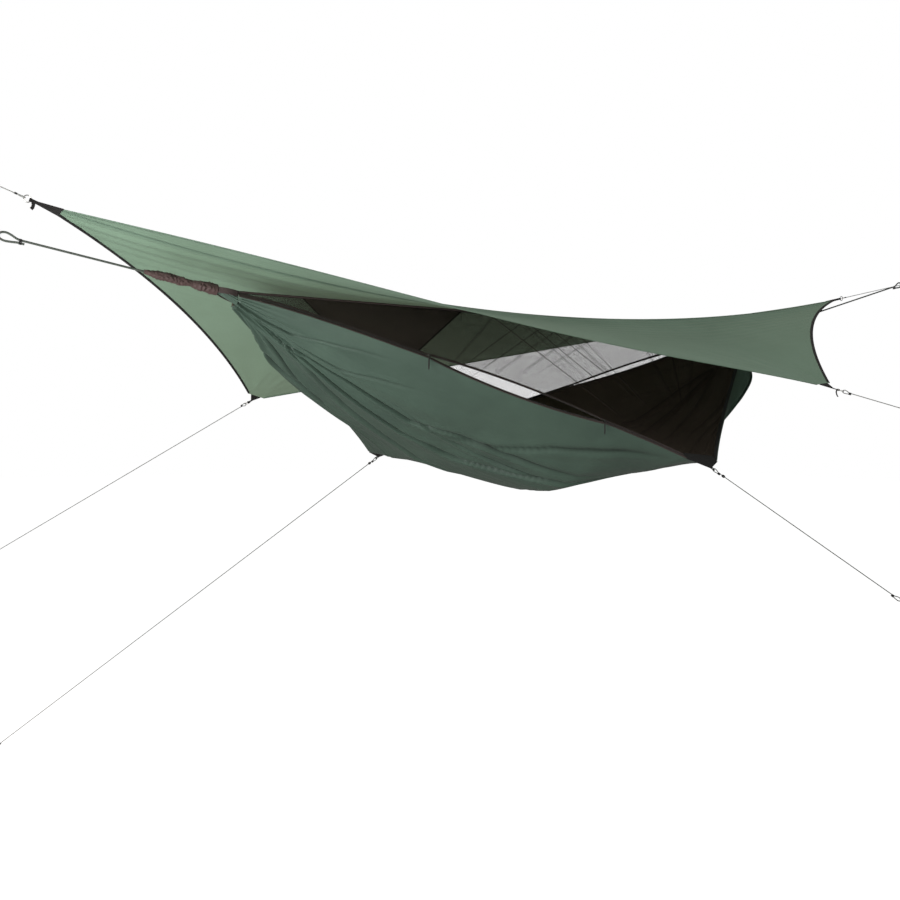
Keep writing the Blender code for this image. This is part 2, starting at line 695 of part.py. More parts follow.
def make_pull(side, which, pivot):
    """A cord loop through the slider's bail, with a moulded grip that hangs off the band's lower edge."""
    way, down, out = slider_frame(side, which)[1:]
    name = f"{side}_zip_pull_{slider_end(side, which)}"
    lie = unit(down - out * PULL_LEAN)
    face = unit(out - lie * float(out @ lie))
    bend = BAIL_WIRE / 2 + SEAM_GAP + PULL_LOOP_WIRE / 2
    legs = PULL_LOOP_LENGTH + PULL_GRIP_RADIUS
    loop = [pivot + lie * legs + face * bend]
    loop += [pivot - lie * bend * math.sin(t) + face * bend * math.cos(t)
             for t in (math.pi * k / 6 for k in range(7))]
    loop.append(pivot + lie * legs - face * bend)
    start = pivot + lie * PULL_LOOP_LENGTH
    hang = np.array([0, 0, -1.0])
    turn = PULL_GRIP_RADIUS
    grip = [start, start + lie * turn * 2, start + lie * turn * 3 + hang * turn,
            start + lie * turn * 3 + hang * (PULL_GRIP_LENGTH - turn),
            start + lie * turn * 3 + hang * PULL_GRIP_LENGTH]
    obj = place(mesh_of([wire(grip, PULL_GRIP_RADIUS, way, 8)], name), name, "black_webbing", pivot=pivot)
    combine(obj, [wire(loop, PULL_LOOP_WIRE / 2, way, 6)], "UNION")


# Ridgeline

def make_ridgeline():
    reach = HALF - NECK_LENGTH - SEAM_GAP
    start, end = np.array([-reach, 0, 0]), np.array([reach, 0, 0])
    points = [mix(start, end, i / 24) for i in range(25)]
    tube("structural_ridgeline", points, RIDGE_CORD_DIAMETER, "cord")
    bore = SLEEVE_RADIUS - SLEEVE_WALL
    profile = [(0, bore), (2 * reach, bore), (2 * reach, SLEEVE_RADIUS), (0, SLEEVE_RADIUS)]
    body = turned(start, (1, 0, 0), profile[::-1], 12)
    place(mesh_of([body], "ridge_sleeve"), "ridge_sleeve", "dark_fabric")


def hook_pivot(x):
    """The middle of the hook loop's hanging bow, under the sleeve."""
    return np.array([x, 0, -SLEEVE_RADIUS - HOOK_LOOP_DROP])


def make_hooks():
    """A tape sewn under the sleeve with two loops in it, and a gear hook hanging in each."""
    half = HOOK_LOOP_WIRE * 2
    reach = HOOK_PLACES[1] - HOOK_PLACES[0] + half * 4
    high = -SLEEVE_RADIUS - SEAM_GAP - HOOK_TAPE_THICKNESS / 2
    middle = np.array([sum(HOOK_PLACES) / 2, 0, high])
    body = box(middle, (1, 0, 0), (0, 1, 0), reach, HOOK_TAPE_WIDTH, HOOK_TAPE_THICKNESS)
    tape = place(mesh_of([body], "ridge_hook_tape"), "ridge_hook_tape", "dark_fabric")
    loops = []
    for x in HOOK_PLACES:
        low = hook_pivot(x)[2]
        path = [(x - half, 0, high), (x - half, 0, low + half / 2), (x - half / 2, 0, low),
                (x + half / 2, 0, low), (x + half, 0, low + half / 2), (x + half, 0, high)]
        loops.append(wire(path, HOOK_LOOP_WIRE / 2, (0, 1, 0), 6))
    combine(tape, loops, "UNION")
    for index, x in enumerate(HOOK_PLACES):
        name = f"gear_hook_{'ab'[index]}"
        pivot = hook_pivot(x)
        bow = HOOK_LOOP_WIRE / 2 + SEAM_GAP + HOOK_WIRE / 2
        eye = [(math.sin(t) * bow, math.cos(t) * bow)
               for t in (math.pi * (mix(-HOOK_EYE_SHARE, 1, k / 7)) for k in range(8))]
        foot = -HOOK_LENGTH
        shank = [(0, -bow - HOOK_WIRE), (0, foot)]
        curl = [(HOOK_BEND_RADIUS * (1 - math.cos(t)), foot - HOOK_BEND_RADIUS * math.sin(t))
                for t in (math.pi * k / 6 for k in range(1, 7))]
        tip = [(2 * HOOK_BEND_RADIUS, foot + HOOK_WIRE * 2)]
        path = [pivot + np.array([0, y, z]) for y, z in eye + shank + curl + tip]
        body = wire(path, HOOK_WIRE / 2, (1, 0, 0), 6)
        place(mesh_of([body], name), name, "hook_plastic", pivot=pivot)


# Gathered ends, ropes and stored sleeves

def rope_way(end):
    rise = HEAD_ROPE_RISE if end == "head" else FOOT_ROPE_RISE
    turn = -1 if end == "head" else 1
    return np.array([turn * math.cos(rise), 0, math.sin(rise)])


def gather_point(end):
    return np.array([-HALF if end == "head" else HALF, 0, 0])


def make_gather(end):
    """The bunched cloth from the bed's end section to the neck that the rope is lashed in."""
    turn = -1 if end == "head" else 1
    way = rope_way(end)
    sides = NECK_PLEATS * 2
    mouth = np.array([turn * (HALF - NECK_LENGTH), turn * -NECK_MOUTH_ASIDE, -NECK_MOUTH_DROP])
    neck = gather_point(end)
    rings = []
    for share, straight in NECK_RING_SHARES:
        middle = mix(mouth, neck, share) + way * NECK_TAIL * straight
        size_y = mix(NECK_MOUTH_WIDTH / 2, NECK_RADIUS, share ** NECK_TAPER_POWER)
        size_z = mix(NECK_MOUTH_HEIGHT / 2, NECK_RADIUS, share ** NECK_TAPER_POWER)
        tilt = unit(mix((turn, 0, 0), way, share))
        up = unit(UPRIGHT - tilt * tilt[2])
        ring = []
        for k in range(sides):
            angle = 2 * math.pi * k / sides
            ripple = 1 + PLEAT_SHARE * (1 if k % 2 else -1) * (1 - straight)
            ring.append(middle + ACROSS * math.cos(angle) * float(size_y) * ripple
                        + up * math.sin(angle) * float(size_z) * ripple)
        rings.append(ring)
    name = f"{end}_gather"
    place(mesh_of([lofted(rings)], name), name, "green_nylon")
    start = neck + way * (NECK_TAIL - LASHING_LENGTH) / 2
    bore = NECK_RADIUS * (1 + PLEAT_SHARE) + SEAM_GAP
    step = LASHING_LENGTH / LASHING_TURNS / 2
    heights = [LASHING_WALL * (1 if i % 2 else LASHING_GROOVE_SHARE) for i in range(2 * LASHING_TURNS + 1)]
    crest = [(i * step, bore + high) for i, high in enumerate(heights)]
    body = turned(start, way, [(LASHING_LENGTH, bore), (0, bore)] + crest, 14, (0, 1, 0))
    place(mesh_of([body], "lashing"), f"{end}_lashing", "rope")


def rope_start(end):
    return gather_point(end) + rope_way(end) * (NECK_TAIL + SEAM_GAP)


def make_stored_sleeve(end):
    """The tapered storage sleeve, bunched up on the rope, which slides along it."""
    start = rope_start(end) + rope_way(end) * STORED_SLEEVE_START
    bore = ROPE_DIAMETER / 2 + STORED_SLEEVE_SLACK
    outer = [(share * STORED_SLEEVE_LENGTH, STORED_SLEEVE_FAT * size) for share, size in STORED_SLEEVE_SHARES]
    profile = [(STORED_SLEEVE_LENGTH, bore), (0, bore)] + outer
    name = f"{end}_stored_sleeve"
    place(mesh_of([turned(start, rope_way(end), profile, 12)], name), name, "dark_fabric", pivot=start)


# Lines and ropes, each with an eye at its end

def eye_points(tip, way, lift, size):
    """An eye's points, from the standing part round to the tail. tip is where the eye bears, way leads away."""
    length, width = EYE_LENGTH * size, EYE_WIDTH / 2 * size
    return [tip + way * length * u + lift * width * v for u, v in EYE_SHARES]


def line_route(tip, way, run, lift, size=1.0, near_eye=True):
    """A taut line's route: its near eye, or its plain end, at tip, a straight run, and its far eye."""
    tip, way = np.array(tip, float), unit(way)
    lift, up = [unit(v - way * float(way @ v)) for v in (lift, UPRIGHT)]
    near = smooth_route(eye_points(tip, way, lift, size), 2)[::-1] if near_eye else [tip]
    far = smooth_route(eye_points(tip + way * run, -way, up, size), 2)
    return near + [mix(near[-1], far[0], i / 5) for i in range(1, 5)] + far


def fly_ring_places(name):
    """For a fly corner: the strap's hole, the way out and the strap's width."""
    tip, way, width = FLY_CORNERS[name]
    way = unit(way)
    width = unit(np.array(width, float) - way * float(np.dot(way, width)))
    hole = np.array(tip, float) + way * (STRAP_LENGTH + STRAP_END_LENGTH / 2)
    return hole, way, width, np.cross(way, width)


def make_fly_corner(name):
    """A corner's reinforcement, drawn in to a strap with a hole for its ring, and the ring."""
    hole, way, width, normal = fly_ring_places(name)
    base = fly_corner_ring(name)
    tip = np.array(FLY_CORNERS[name][0], float)

    def ring(middle, wide, thick):
        order = ((-1, 1), (0, 1), (1, 1), (1, -1), (0, -1), (-1, -1))
        out = [middle + width * wide / 2 * i + normal * thick / 2 * j for i, j in order]
        return out
    half_end = STRAP_END_LENGTH / 2
    rings = [base, ring(tip, STRAP_WIDTH, STRAP_THICKNESS),
             ring(hole - way * half_end, STRAP_WIDTH, STRAP_THICKNESS),
             ring(hole - way * half_end / 2, STRAP_WIDTH, STRAP_END_THICKNESS),
             ring(hole + way * half_end / 2, STRAP_WIDTH, STRAP_END_THICKNESS),
             ring(hole + way * half_end, STRAP_WIDTH, STRAP_THICKNESS)]
    order = matching(base, rings[1])
    rings = [base] + [[ring[k] for k in order] for ring in rings[1:]]
    label = f"fly_{name}_strap"
    obj = place(mesh_of([lofted(rings)], label), label, "black_webbing")
    slot = box(hole, way, width, STRAP_HOLE_LENGTH, STRAP_WIDTH * 1.5, STRAP_HOLE_HEIGHT)
    if name in TAIL_ACROSS:
        combine(obj, [strap_tail(name, TAIL_ACROSS[name])], "UNION")
    combine(obj, [slot], "DIFFERENCE")
    middle = hole + way * RING_RADIUS
    profile = [(RING_WIRE / 2 * math.cos(t), RING_RADIUS + RING_WIRE / 2 * math.sin(t))
               for t in (math.pi * (2 * k + 1) / 6 for k in range(6))]
    body = turned(middle, normal, profile, 14, way)
    place(mesh_of([body], "ring"), f"fly_{name}_ring", "zinc", pivot=hole)


def matching(first, second):
    """The order of the second ring's points that lies nearest to the first ring's."""
    count = len(first)
    ways = [[unit(p - sum(ring) / count) for p in ring] for ring in (first, second)]
    orders = [[(start + turn * k) % count for k in range(count)] for start in range(count) for turn in (1, -1)]
    return max(orders, key=lambda order: sum(float(ways[0][k] @ ways[1][j]) for k, j in enumerate(order)))


# Fly

def ridge_height(x):
    """The fly's crease, which rests on the ridgeline's sleeve and rises to both ends."""
    low = SLEEVE_RADIUS + SEAM_GAP * 2 + HALF_SHEET
    end = FLY_HEAD if x < 0 else FLY_FOOT
    return low + (end[2] - low) * (x / end[0]) ** 2


def fly_edge(side, share, leg):
    """A point on a fly panel's edge: leg 0 runs from the head corner, leg 1 on to the foot corner."""
    corner = np.array(FLY_NEAR if side == "near" else FLY_FAR, float)
    head, foot = np.array(FLY_HEAD, float), np.array(FLY_FOOT, float)
    first, last = (head, corner) if leg == 0 else (corner, foot)
    point = mix(first, last, share)
    short = (side == "near") == (leg == 1)
    if short:
        bow = FLY_FOOT_BOW if side == "near" else FLY_HEAD_BOW
        chord = unit(last - first)
        inward = (head if side == "near" else foot) - corner
        inward = unit(inward - chord * float(chord @ inward))
        return point + inward * bow * 4 * share * (1 - share)
    if side == "near":
        return point - UPRIGHT * FLY_NEAR_SAG * math.sin(math.pi * share ** FLY_SAG_POWER) ** 2
    return point


def fly_edge_points(side):
    """The panel's edge as a fine row of points from the head corner to the foot corner."""
    steps = [k / FLY_EDGE_STEPS for k in range(FLY_EDGE_STEPS + 1)]
    return [[fly_edge(side, s, leg) for s in steps] for leg in (0, 1)]


def corner_cuts(side):
    """The points where the panel's corner is cut off, one on each leg."""
    first, last = fly_edge_points(side)
    corner = first[-1]
    before = min(first, key=lambda p: abs(np.linalg.norm(p - corner) - FLY_CORNER_CUT))
    after = min(last, key=lambda p: abs(np.linalg.norm(p - corner) - FLY_CORNER_CUT))
    return before, after


def edge_at(side, x):
    """The fly's edge point over a place along the ridge, straight across a cut corner."""
    before, after = corner_cuts(side)
    first, last = fly_edge_points(side)
    line = [p for p in first if p[0] <= before[0]] + [p for p in last if p[0] >= after[0]]
    for a, b in zip(line, line[1:]):
        if a[0] <= x <= b[0]:
            return mix(a, b, (x - a[0]) / (b[0] - a[0]))
    return line[-1]


def fly_stations():
    """Places along the ridge where both panels, their edges and the seam have a section."""
    first, last = FLY_HEAD[0] + FLY_TIP_CUT, FLY_FOOT[0] - FLY_TIP_CUT
    cuts = [p[0] for side in ("near", "far") for p in corner_cuts(side)]
    even = [first + (last - first) * k / FLY_STATIONS for k in range(FLY_STATIONS + 1)]
    apart = (last - first) / FLY_STATIONS / 3
    return sorted([x for x in even if all(abs(x - c) > apart for c in cuts)] + cuts)


def fly_frame(edge):
    """The ridge point over an edge point, the way down the panel, its upward normal and its width."""
    top = np.array([edge[0], 0, ridge_height(edge[0])])
    way = unit(edge - top)
    normal = np.array([0, -way[2], way[1]])
    if normal[2] < 0:
        normal = -normal
    return top, way, normal, float(np.linalg.norm(edge - top))


def fly_edge_width(width):
    """The width of the binding or hem, less where the panel narrows to its tips."""
    return min(FLY_EDGE_WIDTH, width * NARROW_EDGE_SHARE)


def fly_columns(width):
    inner = [RIDGE_SEAM_SPLIT, RIDGE_SEAM_WIDTH]
    outer = [width - fly_edge_width(width), width]
    span = outer[0] - inner[1]
    return inner + [inner[1] + span * k / (FLY_COLUMNS + 1) for k in range(1, FLY_COLUMNS + 1)] + outer


def make_fly(side, edges):
    """One fly panel, with a folded binding on its curved edge and a hem under its straight one."""
    frames = [fly_frame(e) for e in edges]
    rings = []
    for top, way, normal, width in frames:
        row = [top + way * p for p in fly_columns(width)]
        rings.append([p + normal * HALF_SHEET for p in row] + [p - normal * HALF_SHEET for p in reversed(row)])
    count = len(rings[0]) // 2
    order = list(range(count)) + list(range(count))[::-1]
    name = f"fly_{side}_panel"
    place(mesh_of([lofted(rings, order)], name), name, "fly_fabric")
    before, after = corner_cuts(side)
    legs = [[e for e in edges if e[0] <= before[0] + SEAM_GAP], [e for e in edges if e[0] >= after[0] - SEAM_GAP]]
    plain, curved = legs if side == "near" else legs[::-1]
    q1 = HALF_SHEET + SEAM_GAP
    q2 = q1 + FLY_BINDING_THICKNESS
    lip = SEAM_GAP + FLY_BINDING_THICKNESS
    binding = [(1, 0, q2), (0, lip, q2), (0, lip, -q2), (1, 0, -q2), (1, 0, -q1), (0, SEAM_GAP, -q1),
               (0, SEAM_GAP, q1), (1, 0, q1)]
    hem = [(1, 0, -q1), (0, 0, -q1), (0, 0, -q2), (1, 0, -q2)]

    def swept(run, profile, name, material):
        out = []
        for e in run:
            top, way, normal, width = fly_frame(e)
            deep = -fly_edge_width(width)
            out.append([e + way * (deep * inner + p) + normal * q for inner, p, q in profile])
        ranks = [1 - inner for inner, p, q in profile]
        place(mesh_of([lofted(out, ranks)], name), name, material)
    swept(curved, binding, f"fly_{'foot' if side == 'near' else 'head'}_binding", "black_webbing")
    swept(plain, hem, f"fly_{side}_hem", "fly_fabric")


def make_ridge_seam(stations):
    """The folded seam over the crease where the two panels meet."""
    low, high = HALF_SHEET + SEAM_GAP, HALF_SHEET + SEAM_GAP + RIDGE_SEAM_THICKNESS
    rings = []
    for x in stations:
        top = np.array([x, 0, ridge_height(x)])
        (wn, nn), (wf, nf) = [fly_frame(edge_at(side, x))[1:3] for side in ("near", "far")]
        up = (nn + nf) / 2
        up = up / float(up @ up)
        rings.append([top + wn * RIDGE_SEAM_WIDTH + nn * high, top + up * high,
                      top + wf * RIDGE_SEAM_WIDTH + nf * high, top + wf * RIDGE_SEAM_WIDTH + nf * low,
                      top + up * low, top + wn * RIDGE_SEAM_WIDTH + nn * low])
    place(mesh_of([lofted(rings, [1, 0, 1, 1, 0, 1])], "fly_ridge_seam"), "fly_ridge_seam", "fly_fabric")


def fly_corner_ring(name):
    """The six points of a corner piece's inner end, just off the cut edge of the cloth."""
    half = STRAP_THICKNESS / 2
    if name in ("near", "far"):
        a, b = corner_cuts(name)
        middle = (a + b) / 2
        top, way, normal, width = fly_frame(middle)
        ends = [mix(middle, p, CORNER_BASE_SHARE) + way * SEAM_GAP for p in (a, middle, b)]
        return [e + normal * half for e in ends] + [e - normal * half for e in reversed(ends)]
    x = FLY_HEAD[0] + FLY_TIP_CUT if name == "head" else FLY_FOOT[0] - FLY_TIP_CUT
    out = np.array([-SEAM_GAP if name == "head" else SEAM_GAP, 0, 0])
    near, far = edge_at("near", x), edge_at("far", x)
    top, way_n, normal_n, width_n = fly_frame(near)
    normal_f = fly_frame(far)[2]
    up = np.array([0, 0, half])
    points = [near + normal_n * half, top + up, far + normal_f * half,
              far - normal_f * half, top - up, near - normal_n * half]
    return [p + out for p in points]


def strap_tail(name, across):
    """The loose end of a corner's webbing, hanging from its strap."""
    hole, way, width, normal = fly_ring_places(name)
    start = hole - way * STRAP_END_LENGTH / 2
    down = np.array([0, 0, -1.0])
    path = [start + down * TAIL_LENGTH * fall + way * TAIL_LENGTH * drift for fall, drift in TAIL_SHARES]
    rings = []
    for k, here in enumerate(path):
        ahead = unit(path[min(k + 1, len(path) - 1)] - path[max(k - 1, 0)])
        side = unit(np.array(across, float) - ahead * float(np.dot(across, ahead)))
        thick = np.cross(side, ahead)
        rings.append([here + side * STRAP_WIDTH / 2 * i + thick * TAIL_THICKNESS / 2 * j
                      for i, j in ((-1, -1), (1, -1), (1, 1), (-1, 1))])
    return lofted(rings)


def side_line(side):
    """Where a side line's eye bears in its patch, its way, and the way its eye stands."""
    way = unit(NEAR_SIDE_WAY if side == "near" else FAR_SIDE_WAY)
    play = PATCH_HOLE_RADIUS - LINE_DIAMETER / 2 - SEAM_GAP * 3
    normal = on_side(side)(0, 0, 1) - on_side(side)(0, 0, 0)
    return patch_tip(side)[0] + way * play, way, normal


def make_lines():
    grip = LINE_DIAMETER / 2 + SEAM_GAP
    for name, run in (("head", FLY_HEAD_RUN), ("foot", FLY_FOOT_RUN), ("far", FLY_FAR_RUN),
                      ("near", FLY_NEAR_RUN)):
        hole, out, width, normal = fly_ring_places(name)
        bear = hole + out * (2 * RING_RADIUS - RING_WIRE / 2 - grip)
        tube(f"fly_{name}_line", line_route(bear, out, run, normal), LINE_DIAMETER, "cord")
    for side, run in (("near", NEAR_SIDE_RUN), ("far", FAR_SIDE_RUN)):
        where, way, normal = side_line(side)
        tube(f"{side}_side_line", line_route(where, way, run, normal), LINE_DIAMETER, "dark_cord")
        bore = LINE_DIAMETER / 2 + BEAD_BORE_SLACK
        shape = [(BEAD_LENGTH * along, BEAD_RADIUS * out) for along, out in BEAD_SHARES]
        body = turned(bead_start(side), way, [(BEAD_LENGTH, bore), (0, bore)] + shape, 10)
        place(mesh_of([body], "bead"), f"{side}_line_bead", "hook_plastic", pivot=bead_start(side))
    for end, run in (("head", HEAD_ROPE_RUN), ("foot", FOOT_ROPE_RUN)):
        route = line_route(rope_start(end), rope_way(end), run - NECK_TAIL, ACROSS,
                           ROPE_DIAMETER / LINE_DIAMETER, False)
        tube(f"{end}_rope", route, ROPE_DIAMETER, "rope")


def bead_start(side):
    where, way, normal = side_line(side)
    return where + way * (EYE_LENGTH + BEAD_LENGTH)


def hold_point():
    """Where the head rope's end eye hangs on its support: the part's origin."""
    start = rope_start("head")
    return start + rope_way("head") * (HEAD_ROPE_RUN - NECK_TAIL)


def main():
    for obj in list(bpy.data.objects):
        bpy.data.objects.remove(obj, do_unlink=True)
    make_bed()
    stations = fly_stations()
    for side in ("near", "far"):
        make_net(side)
        make_zip(side)
        make_plain_binding(side)
        make_patch(side)
        for which in ("start", "end"):
            make_slider(side, which)
        make_fly(side, [edge_at(side, x) for x in stations])
    make_panel()
    make_ridgeline()
    make_hooks()
    for end in ("head", "foot"):
        make_gather(end)
        make_stored_sleeve(end)
    make_ridge_seam(stations)
    for name in FLY_CORNERS:
        make_fly_corner(name)
    make_lines()
    for obj in bpy.data.objects:
        obj.location = np.array(obj.location) - hold_point()


if __name__ == "__main__":
    main()
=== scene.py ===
"""Dresses the hammock tent's solids: cloth with its folds, see-through net, zips, webbing, cords, hardware.

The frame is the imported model. Places here are from the middle of the ridgeline, which is read from the
frame, with +X towards the foot end, +Z up and -Y the near side. A side's own coordinates are the solids':
a along the ridgeline, towards the foot end on the near side and the head end on the far one, p down the
net from the ridgeline, and q outwards from it.
"""

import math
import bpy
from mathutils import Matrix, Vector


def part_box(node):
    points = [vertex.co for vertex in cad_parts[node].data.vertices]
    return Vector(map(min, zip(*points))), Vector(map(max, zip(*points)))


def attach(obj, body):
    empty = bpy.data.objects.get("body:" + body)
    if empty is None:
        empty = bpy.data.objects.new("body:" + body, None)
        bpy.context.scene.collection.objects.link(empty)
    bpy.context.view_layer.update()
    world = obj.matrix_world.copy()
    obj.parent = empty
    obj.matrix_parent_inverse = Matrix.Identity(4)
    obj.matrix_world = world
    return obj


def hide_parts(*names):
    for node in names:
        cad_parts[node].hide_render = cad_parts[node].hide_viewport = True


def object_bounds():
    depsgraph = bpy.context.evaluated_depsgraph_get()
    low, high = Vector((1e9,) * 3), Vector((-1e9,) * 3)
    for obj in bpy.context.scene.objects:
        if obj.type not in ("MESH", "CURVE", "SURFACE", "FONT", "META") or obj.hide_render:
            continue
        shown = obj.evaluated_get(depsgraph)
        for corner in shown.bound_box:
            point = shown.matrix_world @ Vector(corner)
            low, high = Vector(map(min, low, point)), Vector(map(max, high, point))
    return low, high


bl_info = {
    "name": "Hammock tent",
    "version": (1, 0, 0),
    "blender": (4, 5, 0),
    "location": "3D View > Sidebar > Hammock tent",
    "description": "Cloth, net, webbing, cord and hardware for the hammock tent's solids",
    "category": "Object",
}

import bmesh
import bpy
import numpy as np
from mathutils import Matrix, Vector, noise

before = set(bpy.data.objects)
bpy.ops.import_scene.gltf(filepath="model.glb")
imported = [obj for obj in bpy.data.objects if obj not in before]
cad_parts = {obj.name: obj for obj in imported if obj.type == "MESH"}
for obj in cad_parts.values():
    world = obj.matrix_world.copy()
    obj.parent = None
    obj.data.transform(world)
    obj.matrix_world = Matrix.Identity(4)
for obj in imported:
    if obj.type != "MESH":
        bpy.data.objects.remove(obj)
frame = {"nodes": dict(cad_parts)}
CAD_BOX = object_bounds()

# The solids' sizes that the cloth follows
HALF = 1.35
TIE_ALONG, TIE_ASIDE, TIE_DROP = 0.325, 0.670, 0.597
BED_SAG, SAG_POWER, LENGTH_POWER, SECTION_POWER = 0.705, 0.95, 1.22, 2.6
TAUT_POWER, PULLED = 1.4, (-0.340, 0.400, 1.180)
BELLY, BELLIED = 0.150, (0.300, 0.950, 1.300)
NEAR_BOW, SHORT_BOW = 0.075, 0.035
NECK = 0.060
LAP, FLANGE = 0.004, 0.012
NET_DEPTH = math.hypot(TIE_ASIDE, TIE_DROP)
OUT, DOWN = TIE_ASIDE / NET_DEPTH, TIE_DROP / NET_DEPTH
SLEEVE_RADIUS = 0.006
SLEEVE_TOP = 0.0040
CORNER_FROM, CORNER_TO = TIE_ALONG - 0.095, TIE_ALONG + 0.055
OPENINGS = {"near": (-0.660, -0.050, 0.030, 0.024), "far": (-1.000, -0.480, 0.016, 0.012)}
TAPE_IN, TAPE_OUT = 0.0011, 0.0021
ZIP_START = -HALF + 0.130
FLY_L, FLY_R = np.array([-1.930, 0.0, 0.215]), np.array([2.023, 0.0, 0.217])
FLY_F, FLY_N = np.array([-0.797, 0.927, -0.347]), np.array([0.731, -0.886, -0.283])
FLY_HEAD_BOW, FLY_FOOT_BOW, FLY_SAG = 0.077, 0.104, 0.028
FLY_TIP_CUT, FLY_CORNER_CUT, FLY_EDGE = 0.070, 0.060, 0.014
LINE, ROPE = 0.0032, 0.0070
RING_R, RING_WIRE = 0.0105, 0.0030

# The photograph's camera, from the middle of the ridgeline
CAMERA_AT = (-2.806, -3.355, -0.407)
CAMERA_YAW, CAMERA_PITCH, CAMERA_ROLL = 0.621, -0.031, 0.012
CAMERA_LENS, CAMERA_SENSOR, CAMERA_SEES = 43.09, 36.0, 200.0


def middle_of(node):
    low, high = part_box(node)
    return (np.array(low) + np.array(high)) / 2


MIDDLE = middle_of("ridge_sleeve")
UP = np.array([0.0, 0.0, 1.0])
ASIDE = np.array([0.0, 1.0, 0.0])


# Small helpers

def unit(v):
    v = np.asarray(v, float)
    return v / np.linalg.norm(v)


def mix(a, b, share):
    return np.asarray(a, float) * (1 - share) + np.asarray(b, float) * share


def flat_to(v, way):
    """The part of a direction that is square to way, as a unit."""
    return unit(np.asarray(v, float) - way * float(np.dot(v, way)))


def linear(hex_colour):
    """A colour given as an sRGB hex value, as linear light."""
    shares = [int(hex_colour[i:i + 2], 16) / 255 for i in (1, 3, 5)]
    return tuple(c / 12.92 if c <= 0.04045 else ((c + 0.055) / 1.055) ** 2.4 for c in shares) + (1.0,)


def fill(tree, node, inputs):
    """Gives a node its values and links, each link from a socket or from another node's first output."""
    for key, value in inputs.items():
        if isinstance(value, bpy.types.Node):
            value = value.outputs[0]
        if isinstance(value, bpy.types.NodeSocket):
            tree.links.new(value, node.inputs[key])
        else:
            node.inputs[key].default_value = value


def add(tree, kind, inputs=None, **settings):
    """Adds a node with its settings, values and links."""
    new = tree.nodes.new(kind)
    for key, value in settings.items():
        setattr(new, key, value)
    fill(tree, new, inputs or {})
    return new


def surface(name, colour, roughness, more=None):
    """A material with its shader, and its node tree."""
    mat = bpy.data.materials.new(name)
    mat.use_nodes = True
    tree = mat.node_tree
    shader = tree.nodes["Principled BSDF"]
    fill(tree, shader, {"Base Color": linear(colour), "Roughness": roughness, **(more or {})})
    return mat, tree, shader


def linked(name, mesh, materials):
    """A new object with its materials, in the scene."""
    obj = bpy.data.objects.new(name, mesh)
    bpy.context.scene.collection.objects.link(obj)
    mesh.materials.clear()
    for material in materials:
        mesh.materials.append(bpy.data.materials[material])
    return obj


def declared(obj, body, nodes):
    """Says which body a piece rides on, and hides the solids it stands for."""
    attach(obj, body)
    if nodes:
        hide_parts(*nodes)
    return obj


def smoothed(mesh):
    mesh.polygons.foreach_set("use_smooth", [True] * len(mesh.polygons))


def finished(name, mesh, material, body="root", replaces=(), slot=None):
    """Puts a finished mesh into the scene, riding on its body."""
    obj = linked(name, mesh, [material] if isinstance(material, str) else material)
    smoothed(mesh)
    return declared(obj, body, replaces)


def sheet_mesh(name, points, u, v, wrap=False):
    """A mesh of a grid of points, with its UV map in metres."""
    points = np.asarray(points, float)
    rows, cols = points.shape[:2]
    mesh = bpy.data.meshes.new(name)
    last = cols if wrap else cols - 1
    index = np.arange(rows * cols).reshape(rows, cols)
    faces, uvs = [], []
    for i in range(rows - 1):
        for j in range(last):
            k = (j + 1) % cols
            faces.append((index[i, j], index[i, k], index[i + 1, k], index[i + 1, j]))
            ends = (v[i][j], v[i][j + 1] if wrap else v[i][k])
            uvs += [(u[i][j], ends[0]), (u[i][min(j + 1, cols - 1)], ends[1]),
                    (u[i + 1][min(j + 1, cols - 1)], ends[1]), (u[i + 1][j], ends[0])]
    mesh.from_pydata((points + MIDDLE).reshape(-1, 3).tolist(), [], faces)
    layer = mesh.uv_layers.new(name="UVMap")
    layer.data.foreach_set("uv", np.asarray(uvs, float).ravel())
    return mesh


def metres(points):
    """Distances along a grid's rows and columns, for its UV map."""
    points = np.asarray(points, float)
    along = np.zeros(points.shape[:2])
    across = np.zeros(points.shape[:2])
    along[1:] = np.cumsum(np.linalg.norm(np.diff(points, axis=0), axis=2), axis=0)
    across[:, 1:] = np.cumsum(np.linalg.norm(np.diff(points, axis=1), axis=2), axis=1)
    middle = along.shape[1] // 2
    return np.repeat(along[:, middle:middle + 1], along.shape[1], axis=1), across


def cloth(name, points, material, **more):
    points = np.asarray(points, float)
    u, v = metres(points)
    return finished(name, sheet_mesh(name, points, u, v), material, **more)


def modified(obj, kind, **settings):
    """Adds a modifier and applies it."""
    mod = obj.modifiers.new(kind.lower(), kind)
    for key, value in settings.items():
        setattr(mod, key, value)
    pick(obj)
    bpy.ops.object.modifier_apply(modifier=mod.name)
    return obj


def deselect():
    for other in bpy.context.selected_objects:
        other.select_set(False)


def pick(obj):
    """Makes an object the only one selected, and the active one."""
    deselect()
    obj.select_set(True)
    bpy.context.view_layer.objects.active = obj


def walled(obj, thickness, inner=0, offset=-1.0):
    """Gives a sheet its thickness, with the second material on its inner face."""
    return modified(obj, "SOLIDIFY", thickness=thickness, offset=offset, material_offset=inner,
                    use_even_offset=False)


def ring_of(middle, across, thick, wide, high, sides, power=4.0):
    """A rounded flat section, as webbing has."""
    out = []
    for k in range(sides):
        t = 2 * math.pi * (k + 0.5) / sides
        c, s = math.cos(t), math.sin(t)
        size = (abs(c) ** power + abs(s) ** power) ** (-1 / power)
        out.append(middle + across * wide / 2 * c * size + thick * high / 2 * s * size)
    return out


